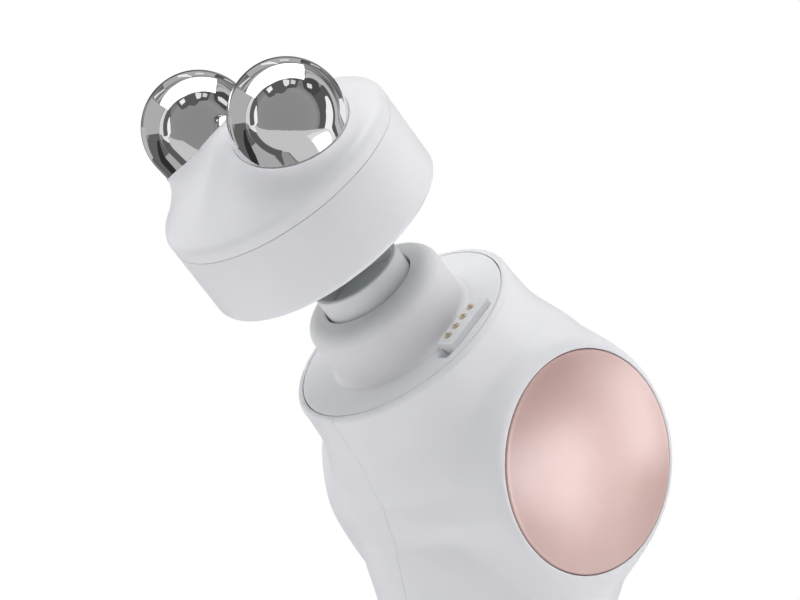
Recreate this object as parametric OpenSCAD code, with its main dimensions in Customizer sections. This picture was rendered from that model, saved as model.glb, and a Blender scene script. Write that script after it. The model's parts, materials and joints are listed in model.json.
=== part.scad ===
// Handheld facial toning device: a bent body of two lofted half shells with a
// percussion drive, and a lift-off two-electrode head on the barrel's face.
// Millimetres, +Z up the handle, +X to the right-hand side disc, barrel towards -Y.
// The origin is the centre of the face of the foot pad.

/* [Body form] */
// Tilt of the barrel from the handle's axis, degrees
lean = 48; // [40:1:56]
// Height at which the barrel's axis meets the handle's axis
bend_h = 96.5; // [90:0.5:110]
// Length of the barrel from that crossing to its face
barrel_len = 34; // [32:0.5:38]
// Radius of the bend along the middle of the body
bend_r = 34; // [32:0.5:38]
// Radius of the barrel at its face
rim_r = 22.1; // [21.7:0.1:22.6]
// Rounding of the barrel's lip
rim_round = 0.9; // [0.5:0.1:1]
// Depth of the knuckle from its axis to the throat
knuckle_throat = 25.3; // [24.5:0.1:26]
// Depth of the knuckle from its axis to the back
knuckle_back = 27.2; // [26.5:0.1:29]
// Half width of the knuckle before the disc seats are cut
knuckle_side = 26.2; // [25.6:0.1:28]
// Radius of the grip
grip_r = 19.6; // [19:0.1:20.5]
// Radius of the handle where the base cap closes it
foot_r = 17.9; // [17:0.1:18.6]
// Wall of the shells
wall = 1.8; // [1.4:0.1:2.2]
// Gap along the parting line between the two shells
parting_gap = 0.08; // [0.04:0.02:0.16]

/* [Side discs] */
// Radius of a side disc
disc_r = 19.7; // [18.5:0.1:20.2]
// Distance of a disc's rim from the middle plane
disc_x = 24.6; // [24.2:0.1:25]
// Rise of the disc's dome over its rim
disc_rise = 3.2; // [2:0.1:4]
// Distance of the disc axis in front of the axis crossing
disc_fwd = 2; // [0:0.5:3]
// Depth of the seat that a disc snaps into
disc_seat = 2; // [1.6:0.1:2.4]
// Thickness of the disc's metal
disc_wall = 1.2; // [0.8:0.1:1.5]
// Gap round the disc's rim
disc_gap = 0.15; // [0.1:0.05:0.3]

/* [Face and neck] */
// Radius of the face plate
face_r = 20.7; // [20.3:0.1:20.8]
// Thickness of the face plate
face_t = 2.1; // [1.8:0.1:2.6]
// Radius of the neck
neck_r = 13.4; // [12.8:0.1:13.8]
// Height of the neck over the face
neck_h = 10.9; // [10:0.1:12]
// Rounding of the neck's top edge
neck_round = 3; // [2:0.1:3.4]
// Radius of the arbor
arbor_r = 8.45; // [8:0.05:8.8]
// Height of the arbor's top over the face
arbor_top = 15; // [14.5:0.1:15.5]
// Radius of the drive socket in the arbor
socket_r = 7.6; // [7:0.1:7.8]
// Depth of the drive socket
socket_d = 6; // [4:0.5:7]
// Gap between the arbor and the neck
arbor_gap = 0.4; // [0.3:0.05:0.6]

/* [Percussion drive] */
// Throw of the crank: half of the arbor's stroke
throw_r = 1.5; // [1:0.1:1.8]
// Radius of the drive shaft
shaft_r = 3; // [2.5:0.1:3.4]
// Outer radius of the shaft's bush
bush_r = 5; // [4.6:0.1:5.4]
// Length of the shaft's bush
bush_len = 13.5; // [11:0.5:14]
// Radius of the motor
motor_r = 13; // [12:0.1:13.2]
// Length of the motor
motor_len = 14.5; // [12:0.5:15]
// Radius of the crank wheel
wheel_r = 6; // [5:0.1:6.4]
// Outer radius of the crank bearing
bearing_r = 2.6; // [2.2:0.1:2.8]
// Clearance of a running fit, on the radius
run_gap = 0.04; // [0.02:0.01:0.08]
// Clearance between pieces that are fitted together
fit_gap = 0.1; // [0.05:0.05:0.15]

/* [Power and controls] */
// Radius of the battery cell
cell_r = 9.2; // [8.8:0.1:9.4]
// Length of the battery cell
cell_len = 65; // [60:1:67]
// Width of the control panel
panel_w = 13; // [11:0.5:15]
// Length of the control panel
panel_len = 34; // [30:1:38]
// Height of the control panel's middle
panel_mid = 46; // [44:1:49]
// Thickness of the control panel
panel_t = 1.1; // [0.9:0.1:1.3]
// Radius of a button
button_r = 4.2; // [3.6:0.1:4.6]
// Distance between the two buttons
button_pitch = 20; // [16:1:22]
// How far a button stands over the panel
button_proud = 0.6; // [0.3:0.1:1]
// Travel of a button
button_travel = 0.6; // [0.4:0.1:0.8]
// Width of the charging port's mouth
port_w = 9; // [8.4:0.1:9.4]
// Height of the charging port's mouth
port_h = 3.2; // [2.8:0.1:3.4]
// Height of the charging port over the foot
port_z = 14; // [13:0.5:16]

/* [Toning head] */
// Gap between the lifted head and the face
head_lift = 23.6; // [18:0.1:30]
// Outer radius of the head
head_r = 22.5; // [22:0.1:23]
// Height of the drum up to its seam
drum_h = 14.1; // [13.6:0.1:14.6]
// Rounding of the drum's lower edge
drum_round = 1.4; // [1:0.1:2]
// Wall of the drum
drum_wall = 2; // [1.7:0.1:2.2]
// Radius of an electrode ball
ball_r = 10; // [9.6:0.1:10.2]
// Half of the distance between the two balls
ball_x = 12.5; // [12.3:0.1:12.8]
// Height of the ball centres over the drum's lower edge
ball_h = 25.7; // [25.4:0.1:26.4]
// Outward tilt of each ball's socket, degrees
ball_tilt = 21.5; // [20:0.5:24]
// Depth of a ball's centre over the plane of its socket
ball_sink = 1.7; // [1.4:0.1:2.2]
// Wall of an electrode
ball_wall = 0.9; // [0.7:0.1:1.4]

/* [Contacts] */
// Distance of the contact row from the barrel's axis
pin_x = 15.8; // [15.6:0.1:16.2]
// Distance between two contacts
pin_pitch = 2.35; // [2:0.05:2.5]
// Offset of the contact row's middle towards the back
pin_mid = 1.2; // [0:0.1:1.6]
// Radius of a contact's plunger
pin_r = 0.55; // [0.4:0.05:0.6]
// Height of the contact plungers over the face
pin_top = 1.9; // [1.6:0.1:2.1]
// Travel of the contact plungers
pin_travel = 0.8; // [0.5:0.1:0.9]

/* [Hidden] */
$fn = 64;
eps = 0.01;

// Colours
white = [0.91, 0.91, 0.92];
grey = [0.72, 0.72, 0.74];
dark = [0.3, 0.3, 0.32];
rose = [0.84, 0.72, 0.69];
chrome = [0.8, 0.8, 0.82];
gold = [0.86, 0.7, 0.36];
steel = [0.6, 0.61, 0.63];
green = [0.1, 0.35, 0.22];

// Spine of the body, measured from the face down to the base seam
bend_t = bend_r * tan(lean / 2);
arc_len = bend_r * lean * PI / 180;
arc_s = barrel_len - bend_t;
base_seam = 5;
handle_s = arc_s + arc_len;
spine_len = handle_s + bend_h - bend_t - base_seam;
arc_y = -bend_t * sin(lean) - bend_r * cos(lean);
arc_z = bend_h + bend_t * cos(lean) - bend_r * sin(lean);
face_y = -barrel_len * sin(lean);
face_z = bend_h + barrel_len * cos(lean);
disc_y = -disc_fwd * sin(lean);
disc_z = bend_h + disc_fwd * cos(lean);
disc_depth = barrel_len - disc_fwd;
seat_x = disc_x - disc_seat;

// Sections of the body: distance down the spine, depth to the throat, depth to the
// back, half width, and squareness to the throat and to the back, where 2 is an ellipse
knuckle_s = disc_depth;
waist_s = handle_s + 14;
grip_s = waist_s + 6;
grip_end_s = spine_len - 22;
sections = [
    [0, rim_r, rim_r, rim_r, 2, 2],
    [knuckle_s / 4, rim_r + 0.4, rim_r + 0.5, rim_r + 0.7, 2, 2],
    [knuckle_s * 0.56, rim_r + 2.3, rim_r + 1.9, rim_r + 4.1, 2.15, 2.5],
    [knuckle_s, knuckle_throat, knuckle_back, knuckle_side, 2.5, 2.8],
    [knuckle_s + 14, grip_r + 4.7, grip_r + 2, grip_r + 6.6, 2, 2],
    [waist_s, grip_r + 0.5, grip_r + 0.4, grip_r + 1.2, 2, 2],
    [grip_s, grip_r, grip_r, grip_r, 2, 2],
    [grip_end_s, grip_r, grip_r, grip_r, 2, 2],
    [spine_len, foot_r, foot_r, foot_r, 2, 2]];
last = len(sections) - 1;

// Smooth interpolation down one column of the section list
function gap(i) = sections[i + 1][0] - sections[i][0];
function rise(c, i) = (sections[i + 1][c] - sections[i][c]) / gap(i);
function flat_or(a, b) = a * b <= 0 ? 0 : 2 * a * b / (a + b);
function slope(c, i) = i == 0 || i == last ? 0 : flat_or(rise(c, i - 1), rise(c, i));
function span(s, i = 0) = i >= last - 1 || s < sections[i + 1][0] ? i : span(s, i + 1);
function blend(c, i, t) =
    sections[i][c] * (1 + 2 * t) * pow(1 - t, 2) + sections[i + 1][c] * t * t * (3 - 2 * t)
    + gap(i) * (slope(c, i) * t * pow(1 - t, 2) - slope(c, i + 1) * t * t * (1 - t));
function value(c, s) = let (i = span(s)) blend(c, i, (s - sections[i][0]) / gap(i));

// Tilt of the section at a distance down the spine, and its centre
function tilt(s) = s <= arc_s ? lean
    : s >= handle_s ? 0 : lean * (1 - (s - arc_s) / arc_len);
function centre(s) = s <= arc_s
    ? [-(barrel_len - s) * sin(lean), bend_h + (barrel_len - s) * cos(lean)]
    : s >= handle_s ? [0, bend_h - bend_t - (s - handle_s)]
    : [arc_y + bend_r * cos(tilt(s)), arc_z + bend_r * sin(tilt(s))];

// How far the lip is drawn in, and a smooth step from 1 to 0
function lip(s) = s >= rim_round ? 0
    : rim_round - sqrt(pow(rim_round, 2) - pow(rim_round - s, 2));
function fade(r, r0, r1) = r <= r0 ? 1 : r >= r1 ? 0
    : let (t = (r - r0) / (r1 - r0)) 1 - t * t * (3 - 2 * t);
function power(c, n) = sign(c) * pow(abs(c), 2 / n);

// A point of the right shell's surface, drawn in by a wall. Round the disc the
// surface is levelled into a flat land at the height of the disc's rim.
plate_seat = 0.15;
lip_depth = face_t + 0.5;
land = 0.5;
land_fade = 5.4;
floor_t = 1.5;
function inset(s, inner) = !inner ? lip(s)
    : s < lip_depth ? rim_r - face_r - plate_seat
    : s < lip_depth + 1 ? max(wall, rim_r - face_r + 0.2) : wall;
function skin(s, a, inner) = let (
    i = inset(s, inner),
    side = sin(a) > 0 ? 2 : 1,
    n = value(side + 3, s),
    depth = value(side, s) - i,
    x = (value(3, s) - i) * max(power(cos(a), n), 0),
    v = depth * power(sin(a), n),
    c = centre(s),
    y = c[0] + v * cos(tilt(s)),
    z = c[1] + v * sin(tilt(s)),
    r = norm([y - disc_y, z - disc_z]),
    pad = inner ? disc_x - disc_seat - floor_t : disc_x - 0.12 * max(0, r - disc_r),
    w = fade(r, disc_r + land + (inner ? 0.8 : 0), disc_r + (inner ? 3.6 : land_fade)))
    [parting_gap / 2 + x + w * (pad - x) * (x > 1 ? 1 : x), y, z];

// Rings of the loft: close along the lip and the bend, wider along the grip
lip_rings = [0, 0.25, 0.6, 1];
barrel_rings = 9;
bend_rings = 14;
grip_rings = 15;
rings = concat(
    [for (f = lip_rings) rim_round * f], [lip_depth - 0.05, lip_depth + 0.05],
    [for (i = [1:barrel_rings]) lip_depth + (arc_s - lip_depth) * i / barrel_rings],
    [for (i = [1:bend_rings]) arc_s + (arc_len + 4) * i / bend_rings],
    [for (i = [1:grip_rings]) handle_s + 4 + (spine_len - handle_s - 4) * i / grip_rings]);
ring_count = len(rings);
steps = 22;
row = steps + 1;
skin_points = [for (inner = [false, true]) for (s = rings) for (k = [0:steps])
    skin(s, -90 + 180 * k / steps, inner)];
inner_first = ring_count * row;
function quad(a, b, c, d) = [[a, b, c], [a, c, d]];
function at(i, k) = i * row + k;
skin_faces = [
    for (i = [0:ring_count - 2]) for (k = [0:steps - 1]) each
        quad(at(i, k), at(i, k + 1), at(i + 1, k + 1), at(i + 1, k)),
    for (i = [0:ring_count - 2]) for (k = [0:steps - 1]) each
        quad(inner_first + at(i, k), inner_first + at(i + 1, k),
             inner_first + at(i + 1, k + 1), inner_first + at(i, k + 1)),
    for (i = [0:ring_count - 2]) each
        quad(at(i, 0), at(i + 1, 0), inner_first + at(i + 1, 0), inner_first + at(i, 0)),
    for (i = [0:ring_count - 2]) each
        quad(at(i, steps), inner_first + at(i, steps),
             inner_first + at(i + 1, steps), at(i + 1, steps)),
    for (k = [0:steps - 1]) each
        quad(at(0, k), inner_first + at(0, k), inner_first + at(0, k + 1), at(0, k + 1)),
    for (k = [0:steps - 1]) each
        quad(at(ring_count - 1, k), at(ring_count - 1, k + 1),
             inner_first + at(ring_count - 1, k + 1), inner_first + at(ring_count - 1, k))];

// Places: the barrel's face, the disc axis and the lifted head
module on_face() {
    translate([0, face_y, face_z]) rotate([lean, 0, 0]) children();
}
module on_knuckle() {
    translate([0, disc_y, disc_z]) rotate([lean, 0, 0]) children();
}
module on_head() {
    on_face() translate([0, 0, head_lift]) children();
}
module on_back(z) {
    translate([0, 0, z]) rotate([-90, 0, 0]) children();
}
module along_x(x) {
    translate([x, 0, 0]) rotate([0, 90, 0]) children();
}

// Shapes used more than once
module ring(r_out, r_in, h) {
    difference() {
        cylinder(r = r_out, h = h);
        translate([0, 0, -eps]) cylinder(r = r_in, h = h + 2 * eps);
    }
}
module slot(length, width, h) {
    linear_extrude(h) {
        square([length - width, width], center = true);
        for (side = [-1, 1]) translate([side * (length - width) / 2, 0]) circle(d = width);
    }
}
module round_plate(w, l, r, h) {
    linear_extrude(h) {
        square([w - 2 * r, l], center = true);
        square([w, l - 2 * r], center = true);
        for (x = [-1, 1]) for (y = [-1, 1])
            translate([x * (w / 2 - r), y * (l / 2 - r)]) circle(r);
    }
}
module screw(head_r, head_h, shank_r, length) {
    cylinder(r = shank_r, h = length + eps);
    translate([0, 0, length]) difference() {
        cylinder(r = head_r, h = head_h);
        translate([0, 0, head_h * 0.5]) cylinder(r = head_r * 0.5, h = head_h, $fn = 6);
    }
}

// Shell fixing posts round the motor, seen along the disc axis
post_r = 2.3;
post_at = motor_r + 4.9;
post_angles = [60, 180, 300];
screw_r = 0.9;
screw_head_r = 1.8;
screw_head_h = 0.9;
head_pocket = screw_head_h + 0.1;
module at_posts() {
    on_knuckle() for (a = post_angles) rotate([a, 0, 0]) translate([0, 0, post_at]) children();
}

// Control panel and button places
panel_r = grip_r - panel_t;
panel_corner = 4;
panel_ledge = 1.6;
button_z = [panel_mid - button_pitch / 2, panel_mid + button_pitch / 2];
module panel_zone(w, l, r, r_from, r_to) {
    intersection() {
        translate([0, 0, panel_mid - l / 2 - 1]) difference() {
            cylinder(r = r_to, h = l + 2, $fn = 128);
            translate([0, 0, -eps]) cylinder(r = r_from, h = l + 3, $fn = 128);
        }
        on_back(panel_mid) round_plate(w, l, r, grip_r * 2);
    }
}
module shell_half(hole_len, hole_r) {
    difference() {
        union() {
            polyhedron(points = skin_points, faces = skin_faces, convexity = 8);
            at_posts() along_x(parting_gap / 2) cylinder(r = post_r, h = seat_x - 0.6);
        }
        on_knuckle() along_x(seat_x) cylinder(r = disc_r + disc_gap, h = 10, $fn = 128);
        at_posts() along_x(-eps) cylinder(r = hole_r, h = hole_len);
        panel_zone(panel_w + 2 * fit_gap, panel_len + 2 * fit_gap, panel_corner, panel_r, grip_r + 2);
        on_back(panel_mid)
            round_plate(panel_w - 2 * panel_ledge, panel_len - 2 * panel_ledge,
                        panel_corner - panel_ledge, grip_r * 2);
        on_back(port_z) slot(port_w + 2 * fit_gap, port_h + 2 * fit_gap, grip_r * 2);
    }
}
thread_len = 12;
module shell_right() {
    color(white) shell_half(thread_len + 0.5, screw_r + fit_gap);
}
module shell_left() {
    color(white) mirror([1, 0, 0]) difference() {
        shell_half(disc_x, screw_r + fit_gap);
        at_posts() along_x(seat_x - head_pocket) cylinder(r = screw_head_r + fit_gap, h = 2);
    }
}
module side_disc() {
    dome_r = (pow(disc_r, 2) + pow(disc_rise, 2)) / (2 * disc_rise);
    on_knuckle() along_x(0) difference() {
        intersection() {
            translate([0, 0, seat_x]) cylinder(r = disc_r, h = disc_seat + disc_rise, $fn = 128);
            translate([0, 0, disc_x + disc_rise - dome_r]) sphere(dome_r, $fn = 256);
        }
        intersection() {
            translate([0, 0, seat_x - eps])
                cylinder(r = disc_r - disc_wall, h = disc_seat + disc_rise, $fn = 128);
            translate([0, 0, disc_x + disc_rise - dome_r]) sphere(dome_r - disc_wall, $fn = 256);
        }
    }
}
module disc_right() {
    color(rose) side_disc();
}
module disc_left() {
    color(rose) mirror([1, 0, 0]) side_disc();
}

// Face plate with its contact window and the notch that keys the head
block_in = neck_r + 1;
block_out = 18.6;
block_len = 3 * pin_pitch + 4.2;
block_top = 1.2;
block_slope = 0.9;
block_end = 0.5;
block_low = 0.2;
neck_foot = 0.9;
neck_gap = 0.15;
notch_len = 2.4;
module face_plate() {
    color(white) on_face() difference() {
        translate([0, 0, -face_t]) cylinder(r = face_r, h = face_t, $fn = 128);
        translate([0, 0, -face_t - 1]) cylinder(r = neck_r + 0.4 + neck_gap, h = face_t + 2);
        translate([(block_in + block_out) / 2, pin_mid, -face_t - 1])
            round_plate(block_out - block_in + 2 * fit_gap, block_len + 2 * fit_gap, 1, face_t + 2);
        translate([block_in + 0.4, pin_mid - block_len / 2 - notch_len - 0.5, -0.8])
            cube([3, notch_len, 1]);
        at_neck_screws() translate([0, 0, -face_t - 1]) cylinder(r = screw_r + 0.02, h = 2.5);
    }
}
// Neck, flange and guide tube, turned about the barrel's axis
flange_r = face_r - 1.1;
flange_t = 2;
neck_screw_at = flange_r - 2.4;
module at_neck_screws() {
    for (a = [45, 225]) rotate([0, 0, a]) translate([neck_screw_at, 0, 0]) children();
}
tube_r = bush_r + 1.5;
tube_end = -face_t - flange_t - bush_len + 2.6;
module neck_housing() {
    color(grey) on_face() difference() {
        rotate_extrude($fn = 128) {
            translate([0, -face_t - flange_t]) square([flange_r, flange_t]);
            translate([0, -face_t - flange_t]) square([neck_r + 0.4, face_t + flange_t]);
            square([neck_r, neck_h - neck_round]);
            square([neck_r - neck_round, neck_h]);
            translate([neck_r - neck_round, neck_h - neck_round]) circle(neck_round);
            difference() {
                translate([neck_r - 1, 0]) square([neck_foot + 1, neck_foot]);
                translate([neck_r + neck_foot, neck_foot]) circle(neck_foot, $fn = 64);
            }
            translate([0, tube_end]) square([tube_r, -tube_end]);
        }
        translate([0, 0, -1]) cylinder(r = arbor_r + arbor_gap, h = neck_h + 2);
        translate([0, 0, seal_z]) cylinder(r = seal_r + fit_gap, h = seal_h);
        translate([0, 0, tube_end - 1]) cylinder(r = bush_r + fit_gap / 2, h = bush_len + 1);
        translate([0, 0, -12]) cylinder(r = shaft_r + 0.4, h = 12);
        at_neck_screws() translate([0, 0, -face_t - flange_t - 1])
            cylinder(r = screw_r + fit_gap, h = flange_t + 2);
    }
}
module neck_screws() {
    color(steel) on_face() at_neck_screws() translate([0, 0, 1.4 - face_t]) rotate([180, 0, 0])
        screw(screw_head_r, screw_head_h, screw_r, flange_t + 1.4);
}
seal_z = 5.5;
seal_h = 1.4;
seal_r = arbor_r + 1.6;
module dust_seal() {
    color(dark) on_face() translate([0, 0, seal_z + 0.1])
        ring(seal_r, arbor_r + 0.06, seal_h - 0.2);
}
module shaft_bush() {
    color(gold) on_face() translate([0, 0, tube_end])
        ring(bush_r, shaft_r + run_gap, bush_len - 0.1);
}
// Contacts: a ledge beside the neck, sloped on its outer side, with four sprung plungers in sleeves
block_w = block_out - block_in;
sleeve_r = 0.95;
module at_pins() {
    on_face() for (i = [-1.5:1:1.5]) translate([pin_x, pin_mid + i * pin_pitch, 0]) children();
}
module contact_block() {
    color(white) difference() {
        on_face() translate([(block_in + block_out) / 2, pin_mid, -face_t]) intersection() {
            round_plate(block_w, block_len, 1, face_t + block_top);
            rotate([90, 0, 0]) linear_extrude(block_len, center = true) polygon([
                [-block_w / 2, 0], [block_w / 2, 0], [block_w / 2, face_t + block_low],
                [block_w / 2 - block_slope, face_t + block_top], [-block_w / 2, face_t + block_top]]);
            rotate([90, 0, 90]) linear_extrude(block_w, center = true) polygon([
                [-block_len / 2, 0], [block_len / 2, 0], [block_len / 2, face_t + block_low],
                [block_len / 2 - block_end, face_t + block_top],
                [block_end - block_len / 2, face_t + block_top],
                [-block_len / 2, face_t + block_low]]);
        }
        at_pins() translate([0, 0, -face_t - 1]) cylinder(r = sleeve_r + 0.02, h = face_t + 3);
    }
}
module contact_sleeves() {
    color(gold) at_pins() translate([0, 0, -face_t])
        ring(sleeve_r, pin_r + run_gap, face_t + block_top + 0.1);
}
module contact_plungers() {
    color(gold) at_pins() {
        translate([0, 0, -face_t + pin_travel + 0.1])
            cylinder(r = pin_r, h = face_t - pin_travel - 0.1 + pin_top - pin_r, $fn = 32);
        translate([0, 0, pin_top - pin_r]) sphere(pin_r, $fn = 32);
    }
}
// Sliding group: the arbor with its magnet, the shaft and the yoke
arbor_low = 3.2;
arbor_edge = 0.4;
module arbor() {
    color(grey) on_face() difference() {
        rotate_extrude($fn = 96) {
            translate([0, arbor_low]) square([arbor_r, arbor_top - arbor_low - arbor_edge]);
            translate([0, arbor_low]) square([arbor_r - arbor_edge, arbor_top - arbor_low]);
            translate([arbor_r - arbor_edge, arbor_top - arbor_edge]) circle(arbor_edge);
        }
        translate([0, 0, arbor_top - socket_d]) cylinder(r = socket_r, h = socket_d + 1);
        translate([0, 0, arbor_low - 1]) cylinder(r = shaft_r + 0.02, h = 4);
    }
}
magnet_t = 1.5;
module arbor_magnet() {
    color(dark) on_face() translate([0, 0, arbor_top - socket_d])
        cylinder(r = socket_r - fit_gap, h = magnet_t);
}
yoke_x = 1.1;
yoke_t = 3.2;
yoke_w = 2 * (bearing_r + throw_r) + 5;
yoke_slot_w = 2 * (bearing_r + throw_r) + 0.6;
yoke_slot_h = 2 * (bearing_r + 2 * throw_r) + 0.6;
yoke_half = yoke_slot_h / 2 + 2.2;
shaft_low = -disc_depth + yoke_half;
module drive_shaft() {
    color(steel) on_face() translate([0, 0, shaft_low + 0.5])
        cylinder(r = shaft_r, h = arbor_low + 3 - shaft_low - 0.5);
}
module yoke() {
    color(steel) on_face() translate([0, 0, -disc_depth]) difference() {
        union() {
            translate([yoke_x, -yoke_w / 2, -yoke_half]) cube([yoke_t, yoke_w, 2 * yoke_half]);
            translate([-shaft_r - 1.2, -yoke_w / 2, yoke_half])
                cube([yoke_x + yoke_t + shaft_r + 1.2, yoke_w, 5]);
            translate([yoke_x, -yoke_w / 2, yoke_half - eps]) cube([yoke_t, yoke_w, 1]);
        }
        translate([yoke_x - 1, -yoke_slot_w / 2, -yoke_slot_h / 2])
            cube([yoke_t + 2, yoke_slot_w, yoke_slot_h]);
        translate([0, 0, yoke_half + 0.5]) cylinder(r = shaft_r + 0.02, h = 6);
    }
}
// Turning group: crank wheel with its shaft stub and pin, and the bearing on it
wheel_x = -3.4;
wheel_t = 3;
axle_r = 1.5;
crank_pin_r = 1.2;
module crank_wheel() {
    color(steel) on_knuckle() difference() {
        union() {
            along_x(wheel_x) cylinder(r = wheel_r, h = wheel_t);
            along_x(wheel_x - 5) cylinder(r = axle_r, h = 5 + eps);
            translate([0, 0, throw_r]) along_x(wheel_x + wheel_t - eps)
                cylinder(r = crank_pin_r, h = yoke_x + yoke_t - wheel_x - wheel_t + 0.6);
        }
        translate([0, 0, -wheel_r * 0.62]) rotate([-34, 0, 0]) along_x(wheel_x - 1)
            cylinder(r = 1.3, h = wheel_t + 2);
    }
}
module crank_bearing() {
    color(steel) on_knuckle() translate([0, 0, throw_r]) along_x(yoke_x + 0.1)
        ring(bearing_r, crank_pin_r + 0.02, yoke_t - 0.2);
}
motor_x = wheel_x - 0.6 - motor_len;
module motor() {
    color(steel) on_knuckle() difference() {
        union() {
            along_x(motor_x) cylinder(r = motor_r, h = motor_len - 0.5);
            along_x(motor_x + motor_len - 0.5 - eps) cylinder(r = 4, h = 0.5);
        }
        along_x(wheel_x - 5.6) cylinder(r = axle_r + run_gap, h = 6);
    }
}
// Chassis: motor ring, bracket to the guide tube, spine, cell shelves and base bosses
pad_t = 0.6;
base_floor = pad_t + 2;
base_screw_x = cell_r - 2.2;
module at_base_screws() {
    for (side = [-1, 1]) translate([side * base_screw_x, 0, 0]) children();
}
ring_wall = 1.9;
cell_y = -3;
cell_low = base_seam + 6.5;
spine_y = cell_y + cell_r + 0.4;
spine_t = 1.6;
shelf_t = 1.5;
shelf_w = 2 * cell_r - 0.4;
shelf_low = cell_low - shelf_t - 0.5;
boss_r = 2.1;
base_screw_len = shelf_low - base_floor;
module chassis() {
    color(dark) difference() {
        union() {
            on_knuckle() along_x(motor_x + 0.5) cylinder(r = motor_r + ring_wall, h = motor_len - 1.5);
            on_face() translate([-tube_r - 2.6, -7, -disc_depth + motor_r])
                cube([2.4, 14, disc_depth - motor_r - face_t - flange_t - 0.2]);
            on_face() translate([0, 0, tube_end + 0.5])
                cylinder(r = tube_r + 2.2, h = -tube_end - face_t - flange_t - 0.7);
            translate([-shelf_w / 2, spine_y, shelf_low])
                cube([shelf_w, spine_t, disc_z - motor_r - shelf_low + 6]);
            for (z = [shelf_low, cell_low + cell_len + 1])
                translate([-shelf_w / 2, cell_y - cell_r + 1, z])
                    cube([shelf_w, 2 * cell_r, shelf_t]);
            at_base_screws() translate([0, 0, base_floor + 0.15])
                cylinder(r = boss_r, h = shelf_low - base_floor);
        }
        at_base_screws() cylinder(r = screw_r + 0.02, h = cell_low - 1);
        on_knuckle() along_x(motor_x - 1) cylinder(r = motor_r + fit_gap, h = motor_len + 1.4);
        on_face() translate([0, 0, tube_end - 1])
            cylinder(r = tube_r + fit_gap, h = -tube_end + 1);
        at_posts() along_x(-disc_x) cylinder(r = post_r + 0.3, h = 2 * disc_x);
    }
}
module battery() {
    color("seagreen") translate([0, cell_y, cell_low]) {
        cylinder(r = cell_r, h = cell_len);
        translate([0, 0, cell_len - eps]) cylinder(r = 3, h = 0.5);
    }
}
tab_t = 0.3;
tab_w = cell_r * 0.65;
module battery_tabs() {
    color(steel) for (z = [cell_low - tab_t - 0.1, cell_low + cell_len + 0.55])
        translate([-tab_w / 2, cell_y - tab_w / 2, z])
            cube([tab_w, spine_y - cell_y + tab_w / 2 - 0.1, tab_t]);
}
// Board with its two key switches behind the control panel
board_y = spine_y + spine_t + 1.2;
board_t = 1;
board_w = 15;
switch_h = 2.2;
switch_w = 5.2;
module main_board() {
    color(green) {
        translate([-board_w / 2, board_y, port_z + 4])
            cube([board_w, board_t, panel_mid + panel_len / 2 - port_z - 4]);
        for (z = [port_z + 8, panel_mid + panel_len / 2 - 4])
            translate([0, spine_y + spine_t, z]) rotate([-90, 0, 0])
                cylinder(r = 1.6, h = board_y - spine_y - spine_t + eps);
    }
}
module key_switches() {
    color(dark) for (z = button_z) translate([-switch_w / 2, board_y + board_t, z - switch_w / 2])
        cube([switch_w, switch_h, switch_w]);
}
module control_panel() {
    color(grey) difference() {
        panel_zone(panel_w, panel_len, panel_corner, panel_r, grip_r);
        for (z = button_z) on_back(z) cylinder(r = button_r + 0.15, h = grip_r * 2);
        for (i = [-1:1]) on_back(panel_mid + i * lens_pitch) cylinder(r = lens_r + 0.05, h = grip_r * 2);
    }
}
lens_r = 0.7;
lens_pitch = 2.6;
module indicator_lenses() {
    color("white") for (i = [-1:1]) intersection() {
        on_back(panel_mid + i * lens_pitch) translate([0, 0, panel_r - 0.5])
            cylinder(r = lens_r, h = panel_t + 2, $fn = 32);
        cylinder(r = grip_r + 0.05, h = panel_mid * 2, $fn = 128);
    }
}
stem_r = 1.6;
button_skirt = 0.8;
stem_end = board_y + board_t + switch_h + button_travel + 0.1;
module button(z) {
    intersection() {
        on_back(z) translate([0, 0, grip_r - panel_t - button_skirt]) cylinder(r = button_r, h = 6);
        translate([0, 0, z - button_r - 1])
            cylinder(r = grip_r + button_proud, h = 2 * button_r + 2, $fn = 128);
    }
    on_back(z) translate([0, 0, stem_end]) cylinder(r = stem_r, h = panel_r - stem_end);
}
module power_button() {
    color(white) button(button_z[0]);
}
module mode_button() {
    color(white) button(button_z[1]);
}
port_depth = 6;
module charge_port() {
    color(steel) on_back(port_z) difference() {
        translate([0, 0, grip_r - 1.2 - port_depth]) slot(port_w, port_h, port_depth);
        translate([0, 0, grip_r - port_depth]) difference() {
            slot(port_w - 0.7, port_h - 0.7, port_depth);
            translate([-3, -0.35, -eps]) cube([6, 0.7, port_depth - 1.8]);
        }
    }
}
// Base: a turned cap with a spigot in the shells, and the pad it stands on
cap_round = 2.2;
pad_r = foot_r - cap_round - 0.4;
pad_top = pad_t + 0.3;
head_seat = pad_top + screw_head_h + 0.05;
spigot_h = 3;
module base_cap() {
    color(white) difference() {
        rotate_extrude($fn = 128) {
            translate([0, pad_t]) square([foot_r - cap_round, base_seam - pad_t - 0.08]);
            translate([0, pad_t + cap_round]) square([foot_r, base_seam - pad_t - cap_round - 0.08]);
            intersection() {
                translate([foot_r - cap_round, pad_t + cap_round]) circle(cap_round);
                square([foot_r, base_seam]);
            }
            translate([0, base_seam - 1]) square([foot_r - wall - 0.25, spigot_h + 1]);
        }
        translate([0, 0, base_floor]) cylinder(r = foot_r - wall - 2, h = base_seam + spigot_h);
        at_base_screws() {
            cylinder(r = screw_r + fit_gap, h = base_seam);
            cylinder(r = screw_head_r + fit_gap, h = head_seat);
        }
        translate([0, 0, -eps]) cylinder(r = pad_r + fit_gap, h = pad_top + 2 * eps);
    }
}
module foot_pad() {
    color(dark) cylinder(r = pad_r, h = pad_top);
}
module base_screws() {
    color(steel) at_base_screws() translate([0, 0, head_seat + base_screw_len])
        rotate([180, 0, 0]) screw(screw_head_r, screw_head_h, screw_r, base_screw_len);
}
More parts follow.
